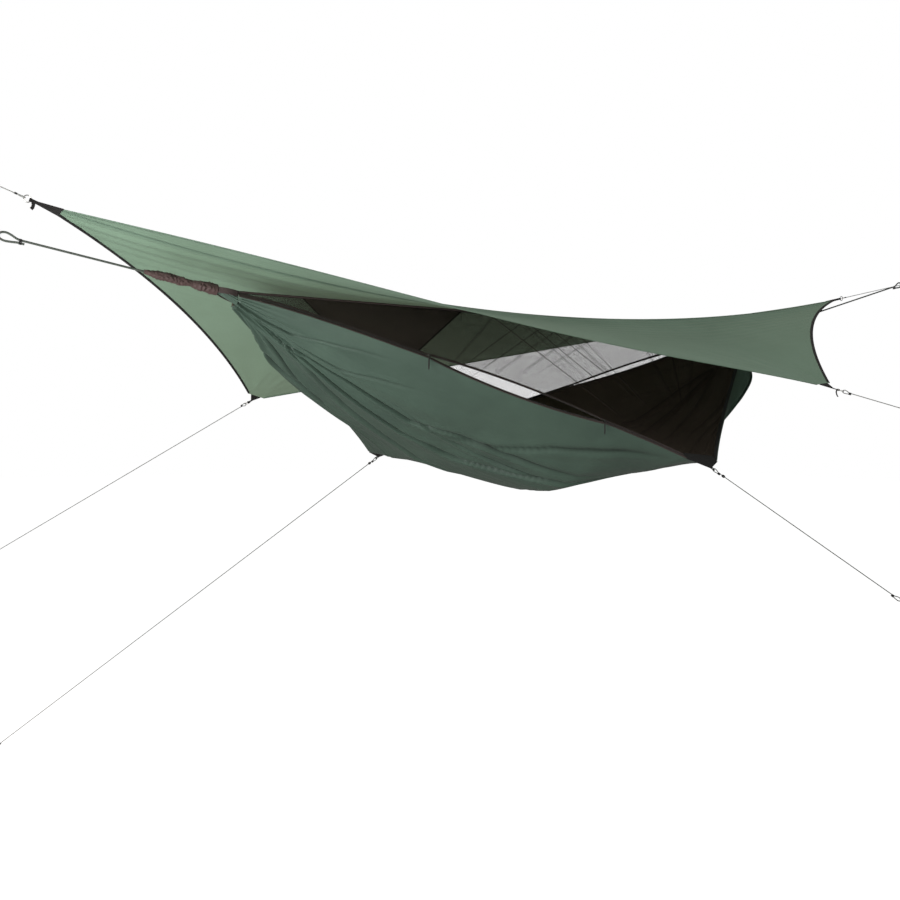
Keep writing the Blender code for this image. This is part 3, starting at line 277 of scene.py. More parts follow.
def closed_loft(name, rings, material, tube=False, **more):
    """A solid skin through rings of points, its ends filled or, on a tube, met, and a UV map in metres."""
    rings = np.asarray(rings, float)
    count = rings.shape[1]
    u, v = metres(np.concatenate([rings, rings[:, :1]], axis=1))
    mesh = sheet_mesh(name, rings, u, v, wrap=True)
    obj = finished(name, mesh, material, **more)
    bm = bmesh.new()
    bm.from_mesh(mesh)
    bm.verts.ensure_lookup_table()
    total = len(rings) * count
    if tube:
        bmesh.ops.remove_doubles(bm, verts=bm.verts, dist=0.000001)
    else:
        bm.faces.new([bm.verts[k] for k in range(count)])
        bm.faces.new([bm.verts[k] for k in range(total - count, total)])
    bmesh.ops.recalc_face_normals(bm, faces=bm.faces)
    bm.to_mesh(mesh)
    bm.free()
    return obj


def smooth_route(points, per_span):
    """Points on a smooth curve through the given ones."""
    pts = [np.array(p, float) for p in points]
    pts = [2 * pts[0] - pts[1]] + pts + [2 * pts[-1] - pts[-2]]
    out = []
    for i in range(1, len(pts) - 2):
        a, b, c, d = pts[i - 1:i + 3]
        for k in range(per_span):
            t = k / per_span
            out.append(0.5 * (2 * b + (c - a) * t + (2 * a - 5 * b + 4 * c - d) * t ** 2
                              + (3 * b - a - 3 * c + d) * t ** 3))
    return out + [pts[-2]]


def band(name, path, across, wide, thick, material, sides=16, **more):
    """A flat strap along a path: across gives the direction of its width at each point."""
    path = [np.asarray(p, float) for p in path]
    rings = []
    for k, here in enumerate(path):
        ahead = unit(path[min(k + 1, len(path) - 1)] - path[max(k - 1, 0)])
        side = flat_to(across[k] if np.ndim(across) == 2 else across, ahead)
        rings.append(ring_of(here, side, np.cross(ahead, side), wide, thick, sides))
    return closed_loft(name, rings, material, **more)


def around(angle, side, other):
    """The direction at an angle round an axis, from two directions square to it."""
    return side * math.cos(angle) + other * math.sin(angle)


def round_rod(name, path, radius, material, sides=12, **more):
    """A round rod along a path, radius one number or one for each point."""
    path = [np.asarray(p, float) for p in path]
    radii = radius if np.ndim(radius) else [radius] * len(path)
    side, rings = None, []
    for k, here in enumerate(path):
        ahead = unit(path[min(k + 1, len(path) - 1)] - path[max(k - 1, 0)])
        start = side if side is not None else (UP if abs(ahead[2]) < 0.8 else ASIDE)
        side = flat_to(start, ahead)
        other = np.cross(ahead, side)
        turns = [2 * math.pi * i / sides for i in range(sides)]
        rings.append([here + around(t, side, other) * radii[k] for t in turns])
    return closed_loft(name, rings, material, **more)


# The bed's sides, as in the solids

def on_side(side):
    turn = 1 if side == "near" else -1

    def at(a, p, q=0.0):
        return np.array([turn * a, -turn * (OUT * p + DOWN * q), OUT * q - DOWN * p])
    return at


def rim(a):
    if CORNER_FROM < a < CORNER_TO:
        share = (a - CORNER_FROM) / (CORNER_TO - CORNER_FROM)
        return float(mix(rim(CORNER_FROM), rim(CORNER_TO), share))
    if a <= CORNER_FROM:
        share = (a + HALF) / (TIE_ALONG + HALF)
        return NET_DEPTH * share - NEAR_BOW * (1 - (2 * share - 1) ** 4)
    share = (HALF - a) / (HALF - TIE_ALONG)
    return NET_DEPTH * share - SHORT_BOW * (1 - (2 * share - 1) ** 4)


def parted(side, a):
    start, end, up, down = OPENINGS[side]
    if not start < a < end:
        return 0.0, 0.0
    shape = math.sin(math.pi * (a - start) / (end - start)) ** 0.75
    return up * shape, down * shape


def net_edge(side, a):
    return rim(a) - parted(side, a)[0]


def on_bed_edge(side, a, p, q=0.0):
    """A place by the bed's edge, which hangs straight down from the seam line where the zip is open."""
    return on_side(side)(a, rim(a) + p, q) - UP * parted(side, a)[1]


def swell(along, first, most, last):
    """A share that rises smoothly from 0 at the first place to 1 at the middle one, and falls to 0 again."""
    if not first < along < last:
        return 0.0
    run = (along - first) / (most - first) if along < most else (last - along) / (last - most)
    return math.sin(math.pi / 2 * run) ** 2


def bed_base(x, shares):
    """The bed's plain section: its near flange, the hanging cloth and its far flange."""
    start, end = on_bed_edge("near", x, LAP + FLANGE), on_bed_edge("far", -x, LAP + FLANGE)
    bottom = -BED_SAG * (1 - (abs(x) / HALF) ** LENGTH_POWER) ** SAG_POWER
    depth = (start[2] + end[2]) / 2 - bottom
    near = np.asarray(shares)[:, None] < 0.5
    shares = np.asarray(shares)[:, None]
    power = np.where(near, *(mix(SECTION_POWER, TAUT_POWER, swell(a, *PULLED)) for a in (x, -x)))
    belly = np.where(near, *(BELLY * swell(a, *BELLIED) for a in (x, -x))) * np.sin(2 * np.pi * shares)
    drop = depth * (1 - np.abs(2 * shares - 1) ** power)
    body = start * (1 - shares) + end * shares - UP * drop - ASIDE * belly
    head = [on_bed_edge("near", x, LAP), on_bed_edge("near", x, LAP + FLANGE / 2)]
    tail = [on_bed_edge("far", -x, LAP + FLANGE / 2), on_bed_edge("far", -x, LAP)]
    return np.concatenate([head, body, tail])


# Folds of the near side that the photograph shows, each as (places along the ridge, shares round the
# cloth, half width as a share, first and last depth in metres). The far side has them turned half round.
FOLDS = (
    ((-1.30, -1.22, -1.14, -1.03, -0.91, -0.78, -0.68, -0.58, -0.35, 0.00),
     (0.22, 0.27, 0.40, 0.483, 0.533, 0.567, 0.583, 0.60, 0.62, 0.64), 0.018, (0.011, 0.003)),
    ((-1.30, -1.13, -1.00, -0.86, -0.71, -0.59, -0.51, -0.42, -0.20, 0.10),
     (0.40, 0.43, 0.36, 0.335, 0.35, 0.35, 0.31, 0.27, 0.24, 0.22), 0.018, (0.014, 0.007)),
    ((-1.30, -1.05, -0.87, -0.75, -0.57, -0.45, -0.32, -0.20, -0.06, 0.25),
     (0.36, 0.42, 0.45, 0.467, 0.467, 0.433, 0.417, 0.36, 0.30, 0.26), 0.016, (0.010, 0.013)),
    ((-0.62, -0.46, -0.30, -0.15, 0.05, 0.20), (0.34, 0.317, 0.233, 0.13, 0.07, 0.04), 0.020, (0.003, 0.009)),
    ((-1.22, -1.10, -1.00, -0.88, -0.72), (0.24, 0.217, 0.13, 0.08, 0.05), 0.012, (0.006, 0.001)),
    ((-1.10, -0.90, -0.79, -0.62), (0.29, 0.267, 0.20, 0.14), 0.012, (0.006, 0.002)),
    ((-1.30, -1.24, -1.16, -1.09, -0.92, -0.75), (0.80, 0.83, 0.733, 0.683, 0.65, 0.63), 0.018,
     (0.010, 0.002)),
    ((-0.70, -0.50, -0.32, -0.19, 0.00), (0.30, 0.333, 0.333, 0.317, 0.28), 0.012, (0.002, 0.007)),
    ((0.15, 0.35, 0.60, 0.85, 1.10, 1.28), (0.10, 0.16, 0.20, 0.23, 0.28, 0.34), 0.020, (0.002, 0.012)),
    ((0.30, 0.55, 0.80, 1.05, 1.28), (0.06, 0.09, 0.12, 0.16, 0.22), 0.014, (0.003, 0.010)),
    ((0.40, 0.70, 0.95, 1.15, 1.28), (0.26, 0.32, 0.37, 0.42, 0.46), 0.016, (0.003, 0.010)),
)


FOLD_DEEPER, FOLD_LEAST, PINCHED_AT = 1.75, 0.0125, 0.018


def hump(t, middle, wide):
    return np.exp(-((t - middle) / wide) ** 2)


def fold_field(x, shares):
    """How far the cloth stands off its plain section at one place, and how deep in a fold it is."""
    total, pinch = np.zeros(len(shares)), np.zeros(len(shares))
    for where, at, half, (first, last) in FOLDS:
        if not where[0] <= x <= where[-1]:
            continue
        line = np.interp(x, where, at)
        run = (x - where[0]) / (where[-1] - where[0])
        fade = min(1.0, 4 * run, 5 * (1 - run))
        depth = FOLD_DEEPER * (first + (last - first) * run) * max(fade, 0.0)
        t = (shares - line) / max(half * (0.60 + 0.8 * run), FOLD_LEAST)
        total += depth * (0.60 * hump(t, 1.15, 0.80) + 0.30 * hump(t, -1.3, 1.0) - hump(t, 0.0, 0.46))
        pinch = np.maximum(pinch, min(depth / PINCHED_AT, 1.0) * hump(t, -0.08, 0.36))
    return total, pinch


BED_REACH, FOLDED_TO, MIDDLE_TO = 1.2897, 0.68, 0.5
CREST_MOST, CREST_SHARE = 0.011, 0.030
CRUMPLES = ((2.2, 26.0, 3.1, 0.0022), (9.0, 60.0, 7.7, 0.0007))


def bed_points():
    """The bed's grid of points, and how deep in a fold each one is."""
    # columns closer together on the near side's folds, and rows closer together towards the ends
    shares = np.concatenate([np.linspace(0, FOLDED_TO, 176)[:-1], np.linspace(FOLDED_TO, 1, 56)])
    xs = np.concatenate([np.linspace(-BED_REACH, -MIDDLE_TO, 85)[:-1],
                         np.linspace(-MIDDLE_TO, MIDDLE_TO, 56)[:-1], np.linspace(MIDDLE_TO, BED_REACH, 70)])
    grid = np.array([bed_base(float(x), shares) for x in xs])
    normal = np.cross(np.gradient(grid, axis=0), np.gradient(grid, axis=1))
    normal /= np.linalg.norm(normal, axis=2)[:, :, None]
    if normal[len(xs) // 2, len(shares) // 2][2] > 0:
        normal = -normal
    lift, pinched = np.zeros(grid.shape[:2]), np.zeros(grid.shape[:2])
    fade = np.clip(np.sin(np.pi * shares), 0, 1) ** 0.5
    for i, x in enumerate(xs):
        x = float(x)
        reach = abs(x) / HALF
        girth = np.linalg.norm(grid[i, 2] - grid[i, -3]) + 0.25
        crest = min(CREST_MOST, CREST_SHARE * girth)
        full = min(1.0, girth / 0.45)
        slow = np.cos(2 * np.pi * 5 * shares + np.pi * x / HALF) * (0.22 + 0.55 * reach ** 2)
        fine = 0.5 * np.cos(2 * np.pi * 14 * shares + 3 * x) * reach ** 6
        fine += 0.35 * np.cos(2 * np.pi * 23 * shares - 5 * x) * reach ** 9
        (near, deep), (far, far_deep) = fold_field(x, shares), fold_field(-x, 1 - shares)
        pinched[i, 2:-2] = np.maximum(deep, far_deep) * full
        crumple = np.array([sum(noise.noise(Vector((x * along, s * round_it, place))) * high
                                for along, round_it, place, high in CRUMPLES) for s in shares])
        lift[i, 2:-2] = (crest * (slow + fine) + (near + far) * full + crumple) * fade
    return grid + normal * lift[:, :, None], pinched


# Materials

MM = 1000
SHADOWED, GRID_GREY = "#0d100d", "#a0a0a0"
# threads 0.25 mm apart are drawn 1.1 mm apart, and the ripstop's 5 mm grid as it is, so that they show
WEAVE_GAPS, GRID_GAP, GRID_THREAD = (1.1, 1.1), 5.0, 0.55
WEBBING_GAPS = (1.5, 1.0)
COIL_GAP = 1.5


def distances(tree):
    """How far along and across a piece each place is, in metres, from its UV map."""
    uv = add(tree, "ShaderNodeUVMap", uv_map="UVMap")
    return add(tree, "ShaderNodeSeparateXYZ", {0: uv}).outputs


def shaded(tree, value, low, high, shade, colour):
    """A colour that goes from the shade to the colour as the value goes from low to high."""
    share = add(tree, "ShaderNodeMapRange", {0: value, 1: low, 2: high})
    return add(tree, "ShaderNodeMix", {"Factor": share, "A": linear(shade), "B": linear(colour)},
               data_type="RGBA").outputs["Result"]


def wave(tree, value, gap_mm):
    """A wave that comes back after each gap, from a distance in metres."""
    turns = add(tree, "ShaderNodeMath", {0: value, 1: 2 * math.pi * MM / gap_mm}, operation="MULTIPLY")
    return add(tree, "ShaderNodeMath", {0: turns}, operation="SINE")


def weave_height(tree, uv, gaps_mm):
    """The height of a plain weave with threads that far apart along and across the piece."""
    along, across = (wave(tree, part, gap) for part, gap in zip(uv, gaps_mm))
    return add(tree, "ShaderNodeMath", {0: along, 1: across}, operation="MULTIPLY")


def grid_lines(tree, uv, gap_mm, share):
    """1 on the threads of a square grid, each that share of the gap wide, and 0 between them."""
    lines = []
    for part in (uv[0], uv[1]):
        gaps = add(tree, "ShaderNodeMath", {0: part, 1: MM / gap_mm}, operation="MULTIPLY")
        run = add(tree, "ShaderNodeMath", {0: gaps}, operation="FRACT")
        lines.append(add(tree, "ShaderNodeMath", {0: run, 1: share}, operation="LESS_THAN"))
    return add(tree, "ShaderNodeMath", dict(enumerate(lines)), operation="MAXIMUM")


def cloth_material(name, colour, shade, roughness, through=0.0, glow=None, ripstop=True, sheen=0.04,
                   gloss=0.30):
    """Thin woven nylon: a fine weave with a ripstop grid, faint clouds, and light that comes through."""
    mat, tree, shader = surface(name, colour, roughness, {
        "Specular IOR Level": gloss, "Sheen Weight": sheen, "Sheen Roughness": 0.45})
    uv = distances(tree)
    place = add(tree, "ShaderNodeTexCoord").outputs["Object"]
    clouds = add(tree, "ShaderNodeTexNoise",
                 {"Vector": place, "Scale": 4.0, "Detail": 5.0, "Roughness": 0.6})
    tint = shaded(tree, clouds, 0.30, 0.70, shade, colour)
    height = weave_height(tree, uv, WEAVE_GAPS)
    # painted shade: where cloth is pinched into a fold, its colour is darkened towards SHADOWED, standing in
    # for its faces shading each other
    pinch = add(tree, "ShaderNodeAttribute", attribute_name="pinch").outputs["Fac"]
    shut = add(tree, "ShaderNodeMath", {0: pinch, 1: 0.90}, operation="MULTIPLY")
    tint = add(tree, "ShaderNodeMix", {"Factor": shut, "A": tint, "B": linear(SHADOWED)},
               data_type="RGBA").outputs["Result"]
    if ripstop:
        lines = grid_lines(tree, uv, GRID_GAP, GRID_THREAD / GRID_GAP)
        faint = add(tree, "ShaderNodeMath", {0: lines, 1: 0.10}, operation="MULTIPLY")
        tint = add(tree, "ShaderNodeMix", {"Factor": faint, "A": tint, "B": linear(GRID_GREY)},
                   data_type="RGBA", blend_type="MULTIPLY").outputs["Result"]
        raised = add(tree, "ShaderNodeMath", {0: lines, 1: 0.9}, operation="MULTIPLY")
        height = add(tree, "ShaderNodeMath", {0: height, 1: raised}, operation="ADD")
    woven = add(tree, "ShaderNodeBump", {"Height": height, "Strength": 0.35, "Distance": 0.00012})
    crumple = add(tree, "ShaderNodeTexNoise",
                  {"Vector": place, "Scale": 26.0, "Detail": 6.0, "Roughness": 0.62})
    creased = add(tree, "ShaderNodeBump",
                  {"Height": crumple, "Strength": 0.30, "Distance": 0.0012, "Normal": woven})
    fill(tree, shader, {"Base Color": tint, "Normal": creased})
    if through:
        lit = add(tree, "ShaderNodeBsdfTranslucent", {"Color": linear(glow or colour), "Normal": creased})
        both = add(tree, "ShaderNodeMixShader", {0: through, 1: shader, 2: lit})
        fill(tree, tree.nodes["Material Output"], {"Surface": both})
    return mat


def net_material(name, colour, closed, hole_mm=2.0):
    """Knitted polyester net: dark threads round open holes, denser where the net is folded on itself."""
    mat, tree, shader = surface(name, colour, 0.90, {"Specular IOR Level": 0.08})
    threads = grid_lines(tree, distances(tree), hole_mm, 1 - math.sqrt(1 - closed))
    folded = add(tree, "ShaderNodeAttribute", attribute_name="fold").outputs["Fac"]
    dense = add(tree, "ShaderNodeMath", {0: threads, 1: folded}, operation="MAXIMUM")
    fill(tree, shader, {"Alpha": dense})
    return mat


def webbing_material(name, colour, shade):
    """Woven polyester webbing, with threads 1.5 mm apart along it and 1 mm apart across it."""
    mat, tree, shader = surface(name, colour, 0.80, {"Specular IOR Level": 0.20, "Sheen Weight": 0.03})
    height = weave_height(tree, distances(tree), WEBBING_GAPS)
    woven = add(tree, "ShaderNodeBump", {"Height": height, "Strength": 0.6, "Distance": 0.00025})
    # painted shade: the colour darkens where the weave's threads dip
    fill(tree, shader, {"Base Color": shaded(tree, height, -1.0, 1.0, shade, colour), "Normal": woven})
    return mat


def cord_material(name, colour, shade, plait_mm):
    """Braided cord: strands that cross each other at the plait's pitch, with painted shade where they dip."""
    mat, tree, shader = surface(name, colour, 0.80, {"Specular IOR Level": 0.25, "Sheen Weight": 0.08})
    along, across, _ = distances(tree)
    strands = []
    for slant in (1.0, -1.0):
        aside = add(tree, "ShaderNodeMath", {0: across, 1: slant}, operation="MULTIPLY")
        run = add(tree, "ShaderNodeMath", {0: along, 1: aside}, operation="ADD")
        strands.append(wave(tree, run, plait_mm))
    height = add(tree, "ShaderNodeMath", dict(enumerate(strands)), operation="MAXIMUM")
    plaited = add(tree, "ShaderNodeBump", {"Height": height, "Strength": 0.8, "Distance": 0.0003})
    # painted shade: the colour darkens where the strands dip
    fill(tree, shader, {"Base Color": shaded(tree, height, -0.6, 1.0, shade, colour), "Normal": plaited})
    return mat


def metal_material(name, colour, roughness):
    """Plated metal: a dull gloss with fine rubbing marks."""
    mat, tree, shader = surface(name, colour, roughness, {"Metallic": 1.0})
    place = add(tree, "ShaderNodeTexCoord").outputs["Object"]
    marks = add(tree, "ShaderNodeTexNoise", {"Vector": place, "Scale": 900.0, "Detail": 4.0})
    rough = add(tree, "ShaderNodeMapRange", {0: marks, 3: roughness - 0.08, 4: roughness + 0.12})
    rubbed = add(tree, "ShaderNodeBump", {"Height": marks, "Strength": 0.25, "Distance": 0.0001})
    fill(tree, shader, {"Roughness": rough, "Normal": rubbed})
    return mat


def plastic_material(name, colour, roughness):
    """Moulded acetal: an even satin face with the mould's fine grain."""
    mat, tree, shader = surface(name, colour, roughness)
    place = add(tree, "ShaderNodeTexCoord").outputs["Object"]
    grain = add(tree, "ShaderNodeTexNoise", {"Vector": place, "Scale": 1400.0, "Detail": 3.0})
    fill(tree, shader, {"Normal": add(tree, "ShaderNodeBump", {
        "Height": grain, "Strength": 0.25, "Distance": 0.00008})})
    return mat


def coil_material(name, colour):
    """Nylon zip coil: round teeth across the zip."""
    mat, tree, shader = surface(name, colour, 0.42)
    teeth = wave(tree, distances(tree)[0], COIL_GAP)
    fill(tree, shader, {"Normal": add(tree, "ShaderNodeBump", {
        "Height": teeth, "Strength": 0.9, "Distance": 0.0005})})
    return mat


def make_materials(looks):
    cloth_material("Bed ripstop nylon", looks.bed_colour, looks.bed_shade, 0.50, 0.08)
    # painted shade: the bed's inner face gets its own brownish colour and warm light-through colour, standing
    # in for the shade inside the bed
    cloth_material("Bed lining nylon", "#75675a", "#62564a", 0.80, 0.35, "#8a7c62", gloss=0.10)
    cloth_material("Fly coated nylon", looks.fly_colour, looks.fly_shade, 0.50, looks.fly_through,
                   looks.fly_glow)
    cloth_material("Panel taffeta", "#665a54", "#564d48", 0.80, ripstop=False, sheen=0.02, gloss=0.12)
    cloth_material("Seam tape taffeta", "#463c3a", "#3a3230", 0.80, ripstop=False, sheen=0.02, gloss=0.15)
    cloth_material("Stored sleeve nylon", "#54423f", "#3a2d2b", 0.60, ripstop=False, gloss=0.25)
    net_material("Near knitted net", "#2c2520", looks.near_closed)
    net_material("Far knitted net", "#2c2520", looks.far_closed)
    webbing_material("Black polyester webbing", "#1e1c1b", "#121110")
    cord_material("Grey braided cord", "#8f908c", "#5e5f5b", 2.2)
    cord_material("Dark braided cord", "#5b5f59", "#3c403a", 2.2)
    cord_material("Braided rope", "#4b514a", "#2f342e", 3.4)
    cord_material("Black braided cord", "#2a2826", "#191817", 2.2)
    cord_material("Black whipping twine", "#1d1d1c", "#101010", 1.2)
    metal_material("Zinc-plated steel", "#b4b4b0", 0.30)
    metal_material("Blackened zinc alloy", "#55534f", 0.38)
    plastic_material("Black acetal", "#1b1b1b", 0.40)
    coil_material("Zip coil nylon", "#262423")


# Sizes and colours that a user would change

def colour_setting(name, what, value):
    return bpy.props.StringProperty(name=name, description=f"sRGB hex of {what}", default=value)


def share_setting(name, what, value, most):
    return bpy.props.FloatProperty(name=name, description=f"Share of {what}", default=value, min=0.0,
                                   max=most, subtype="FACTOR")


class HammockLooks(bpy.types.PropertyGroup):
    bed_colour: colour_setting("Bed colour", "the bed's nylon", "#485b4f")
    bed_shade: colour_setting("Bed shade", "its darker clouds", "#3f5046")
    fly_colour: colour_setting("Fly colour", "the fly's nylon", "#79937f")
    fly_shade: colour_setting("Fly shade", "its darker clouds", "#718a76")
    fly_glow: colour_setting("Fly glow", "light through the fly", "#869e8a")
    fly_through: share_setting("Fly light", "light that goes through the fly", 0.30, 1.0)
    near_closed: share_setting("Near net", "the near net that is thread", 0.51, 0.95)
    far_closed: share_setting("Far net", "the far net that is thread", 0.34, 0.95)
    net_fold: bpy.props.FloatProperty(name="Net folds", description="Height of the net's tension folds",
                                      default=0.004, min=0.0, max=0.02, unit="LENGTH")


# Bed, gathered ends and stored sleeves

TURN = {"head": -1, "foot": 1}
ROPE_RISE = {"head": 0.157, "foot": 0.267}


def rope_way(end):
    return np.array([TURN[end] * math.cos(ROPE_RISE[end]), 0, math.sin(ROPE_RISE[end])])


def gather_point(end):
    return np.array([TURN[end] * HALF, 0, 0])


class HAMMOCK_OT_bed(bpy.types.Operator):
    """The hanging bed with its folds, and an inner face with painted shade: a brownish colour that stands in
    for the shade inside it
    """
    bl_idname = "hammock.bed"
    bl_label = "Bed"

    def execute(self, context):
        grid, pinched = bed_points()
        obj = cloth("bed_cloth", grid, ["Bed ripstop nylon", "Bed lining nylon"], replaces=["hammock_bed"],
                    slot="green_nylon")
        # how deep in a fold each point is; the cloth's material darkens the colour there as painted shade
        marks = obj.data.attributes.new("pinch", "FLOAT", "POINT")
        marks.data.foreach_set("value", np.clip(pinched.ravel(), 0, 1))
        face_out(obj, -UP)
        walled(obj, 0.0009, 1)
        return {"FINISHED"}


def face_out(obj, way):
    """Turns a sheet's faces so that most of it faces the given way."""
    if sum(face.area * face.normal.dot(Vector(way)) for face in obj.data.polygons) < 0:
        obj.data.flip_normals()


MOUTH_DROP, MOUTH_ASIDE, MOUTH_UP, NECK_RADIUS, TAIL = 0.0265, 0.0170, 0.0190, 0.013, 0.040


def gather_rings(end, sides, rows):
    """The bunched cloth from the bed's end to its neck, with deep pleats that run into the bed's folds."""
    turn = TURN[end]
    way = rope_way(end)
    mouth = np.array([turn * (HALF - NECK), 0.0, -MOUTH_DROP])
    neck = gather_point(end)
    rings = []
    steps = [(s, 0.0) for s in np.linspace(0, 1, rows)] + [(1.0, t) for t in np.linspace(0.15, 1, rows // 2)]
    for share, tail in steps:
        middle = mix(mouth, neck, share) + way * TAIL * tail
        size_y, size_z = (float(mix(size, NECK_RADIUS, share ** 0.8)) for size in (MOUTH_ASIDE, MOUTH_UP))
        tilt = unit(mix((turn, 0, 0), way, share))
        up = flat_to(UP, tilt)
        ring = []
        for k in range(sides):
            angle = 2 * math.pi * k / sides
            deep = 0.05 + 0.02 * math.sin(3 * angle)
            ripple = 1 - deep - deep * math.cos(14 * angle + 0.6 * math.sin(2 * angle))
            ripple -= 0.03 * abs(math.sin(23 * angle + share * 3)) * (1 - tail)
            open_end = 1.0 + 0.10 * tail ** 2 * math.cos(9 * angle)
            size = ripple * (open_end if tail else 1.0)
            ring.append(middle + ASIDE * math.cos(angle) * size_y * size
                        + up * math.sin(angle) * size_z * size)
        rings.append(ring)
    return rings


LASHING_FROM, LASHING_TURNS, LASHING_PITCH, LASHING_RADIUS, LASHING_WIRE = 0.0125, 5, 0.0037, 0.0155, 0.0017
STEPS = 20
NECK_BAND_TO, NECK_BAND_ASIDE, NECK_BAND_BOW = 0.0100, 0.0150, 0.0080
NECK_BAND_IN, NECK_BAND_OUT, NECK_BAND_WIDE, NECK_BAND_THICK = 0.0008, 0.0030, 0.020, 0.0012
STORED_FROM, STORED_LENGTH, STORED_WALL = 0.0115, 0.2475, 0.0006
# The stored sleeve's radii outside and inside, at shares of its length
STORED_OUTER = ((0.0, 0.0190), (0.10, 0.0196), (0.22, 0.0190), (0.32, 0.0130), (0.38, 0.0118),
                (0.50, 0.0150), (0.66, 0.0160), (0.82, 0.0135), (0.93, 0.0090), (1.0, 0.0072))
STORED_INNER = ((0.0, 0.0178), (0.10, 0.0178), (0.16, 0.0150), (0.24, 0.0060), (1.0, 0.0050))


class HAMMOCK_OT_ends(bpy.types.Operator):
    """Both gathered ends with their pleats, the lashings round them and the stored sleeves on the ropes"""
    bl_idname = "hammock.ends"
    bl_label = "Gathered ends"

    def execute(self, context):
        for end in ("head", "foot"):
            way = rope_way(end)
            closed_loft(f"{end}_gather_cloth", gather_rings(end, 168, 18), "Bed ripstop nylon",
                        replaces=[f"{end}_gather"], slot="green_nylon")
            # lashing: turns of rope side by side round the neck
            start = gather_point(end) + way * LASHING_FROM
            other = np.cross(way, ASIDE)
            path = [start + way * (LASHING_PITCH * k / STEPS)
                    + around(2 * math.pi * k / STEPS, ASIDE, other) * LASHING_RADIUS
                    for k in range(LASHING_TURNS * STEPS + 1)]
            round_rod(f"{end}_lashing_turns", path, LASHING_WIRE, "Braided rope", 10,
                      replaces=[f"{end}_lashing"], slot="rope")
            self.necks(end, way)
            self.sleeve(end, way)
        return {"FINISHED"}

    def necks(self, end, way):
        """The dark seam tape's last stretch on each side of the neck, up to the lashing."""
        tip = gather_point(end) + way * NECK_BAND_TO
        for side, across in (("near", -1), ("far", 1)):
            a = TURN[end] * (HALF - NECK - NECK_BAND_IN) * -across
            mouth = on_side(side)(a, rim(a), NECK_BAND_OUT)
            path = [mix(mouth, tip + ASIDE * across * NECK_BAND_ASIDE, share)
                    + ASIDE * across * NECK_BAND_BOW * math.sin(math.pi * share)
                    for share in np.linspace(0, 1, 14)]
            band(f"{side}_{end}_neck_band", path, UP, NECK_BAND_WIDE, NECK_BAND_THICK, "Seam tape taffeta",
                 slot="dark_fabric")

    def sleeve(self, end, way):
        """The storage sleeve, bunched on the rope in ruffles that bulge twice, its mouth over the lashing."""
        start, up = gather_point(end) + way * STORED_FROM, flat_to(UP, way)
        rings, rows, sides = [], 150, 72
        angles = [2 * math.pi * k / sides for k in range(sides)]

        def ring(share, radii):
            here = start + way * (STORED_LENGTH * share)
            return [here + around(angle, ASIDE, up) * r for angle, r in zip(angles, radii)]

        for i in range(rows + 1):
            share = i / rows
            size = float(np.interp(share, *zip(*STORED_OUTER)))
            least = float(np.interp(share, *zip(*STORED_INNER))) + STORED_WALL
            radii = []
            for angle in angles:
                place = (math.cos(angle) * 1.3, math.sin(angle) * 1.3)
                wobble = noise.noise(Vector((share * 9, *place)))
                lump = noise.noise(Vector((share * 30, place[0] * 1.8, place[1] * 1.8)))
                turn = 2 * math.pi * share * 17 + 5 * wobble + 0.9 * math.sin(2 * angle)
                ruffle = 0.5 + 0.5 * math.sin(turn)
                radii.append(max(size * (0.89 + 0.08 * ruffle + 0.20 * wobble + 0.12 * lump), least))
            rings.append(ring(share, radii))
        for share in (1.0, 0.7, 0.4, 0.24, 0.16, 0.10, 0.0):
            rings.append(ring(share, [float(np.interp(share, *zip(*STORED_INNER)))] * sides))
        closed_loft(f"{end}_sleeve_ruffles", rings + rings[:1], "Stored sleeve nylon", tube=True,
                    body=f"{end}_stored_sleeve", replaces=[f"{end}_stored_sleeve"], slot="dark_fabric")


# Nets, ridge sleeve, zips and tie-outs

# Folds of the nets, each from a place (a, p) on the ridge side to one nearer the rim, with half its width
# in metres and how nearly it closes the net's holes
NET_FOLDS = {
    "near": (((-0.231, 0.012), (0.075, 0.640), 0.0032, 0.80), ((-0.075, 0.012), (0.110, 0.470), 0.0030, 0.78),
             ((0.010, 0.012), (0.190, 0.430), 0.0030, 0.75), ((-0.110, 0.012), (0.040, 0.420), 0.0100, 0.22),
             ((0.090, 0.012), (0.215, 0.520), 0.0110, 0.22), ((0.160, 0.012), (0.255, 0.600), 0.0028, 0.55),
             ((0.560, 0.012), (0.400, 0.560), 0.0100, 0.30), ((0.760, 0.012), (0.430, 0.560), 0.0040, 0.50),
             ((0.960, 0.012), (0.460, 0.540), 0.0120, 0.35)),
    "far": (((0.020, 0.012), (0.200, 0.330), 0.0030, 0.72), ((-0.110, 0.012), (0.120, 0.380), 0.0030, 0.72),
            ((0.190, 0.012), (0.270, 0.420), 0.0090, 0.30), ((-0.290, 0.060), (-0.120, 0.370), 0.0110, 0.26),
            ((-0.400, 0.100), (-0.210, 0.350), 0.0100, 0.22),
            ((-0.190, 0.030), (0.020, 0.380), 0.0100, 0.24)),
}


def tension(side, a, p):
    """How far a net is folded on itself, from 0 to 1, and its fold's height as a share."""
    closed = high = 0.0
    for first, last, half, shut in NET_FOLDS[side]:
        run = np.subtract(last, first)
        long = math.hypot(*run)
        along = run / long
        here = np.subtract((a, p), first)
        s, d = float(here @ along), float(here[0] * along[1] - here[1] * along[0])
        if -0.01 < s < long and abs(d) < 4 * half:
            fade = min(1.0, (s + 0.01) / 0.02, (long - s) / 0.12)
            shape = math.exp(-(d / half) ** 2) * fade
            closed, high = max(closed, shape * shut), max(high, shape)
    return closed, high


NET_END_GAP, NET_ROWS, NET_COLUMNS = 0.0006, 330, 120
# The dark panel's ends along the ridge and by the rim, its place under the net, and how far it bags
PANEL_TOP, PANEL_LOW, PANEL_OFF_RIM = (-1.040, -0.365), (-1.010, -0.690), 0.014
PANEL_UNDER, PANEL_BAG, PANEL_CRUMPLE = 0.0016, 0.0022, 0.0008


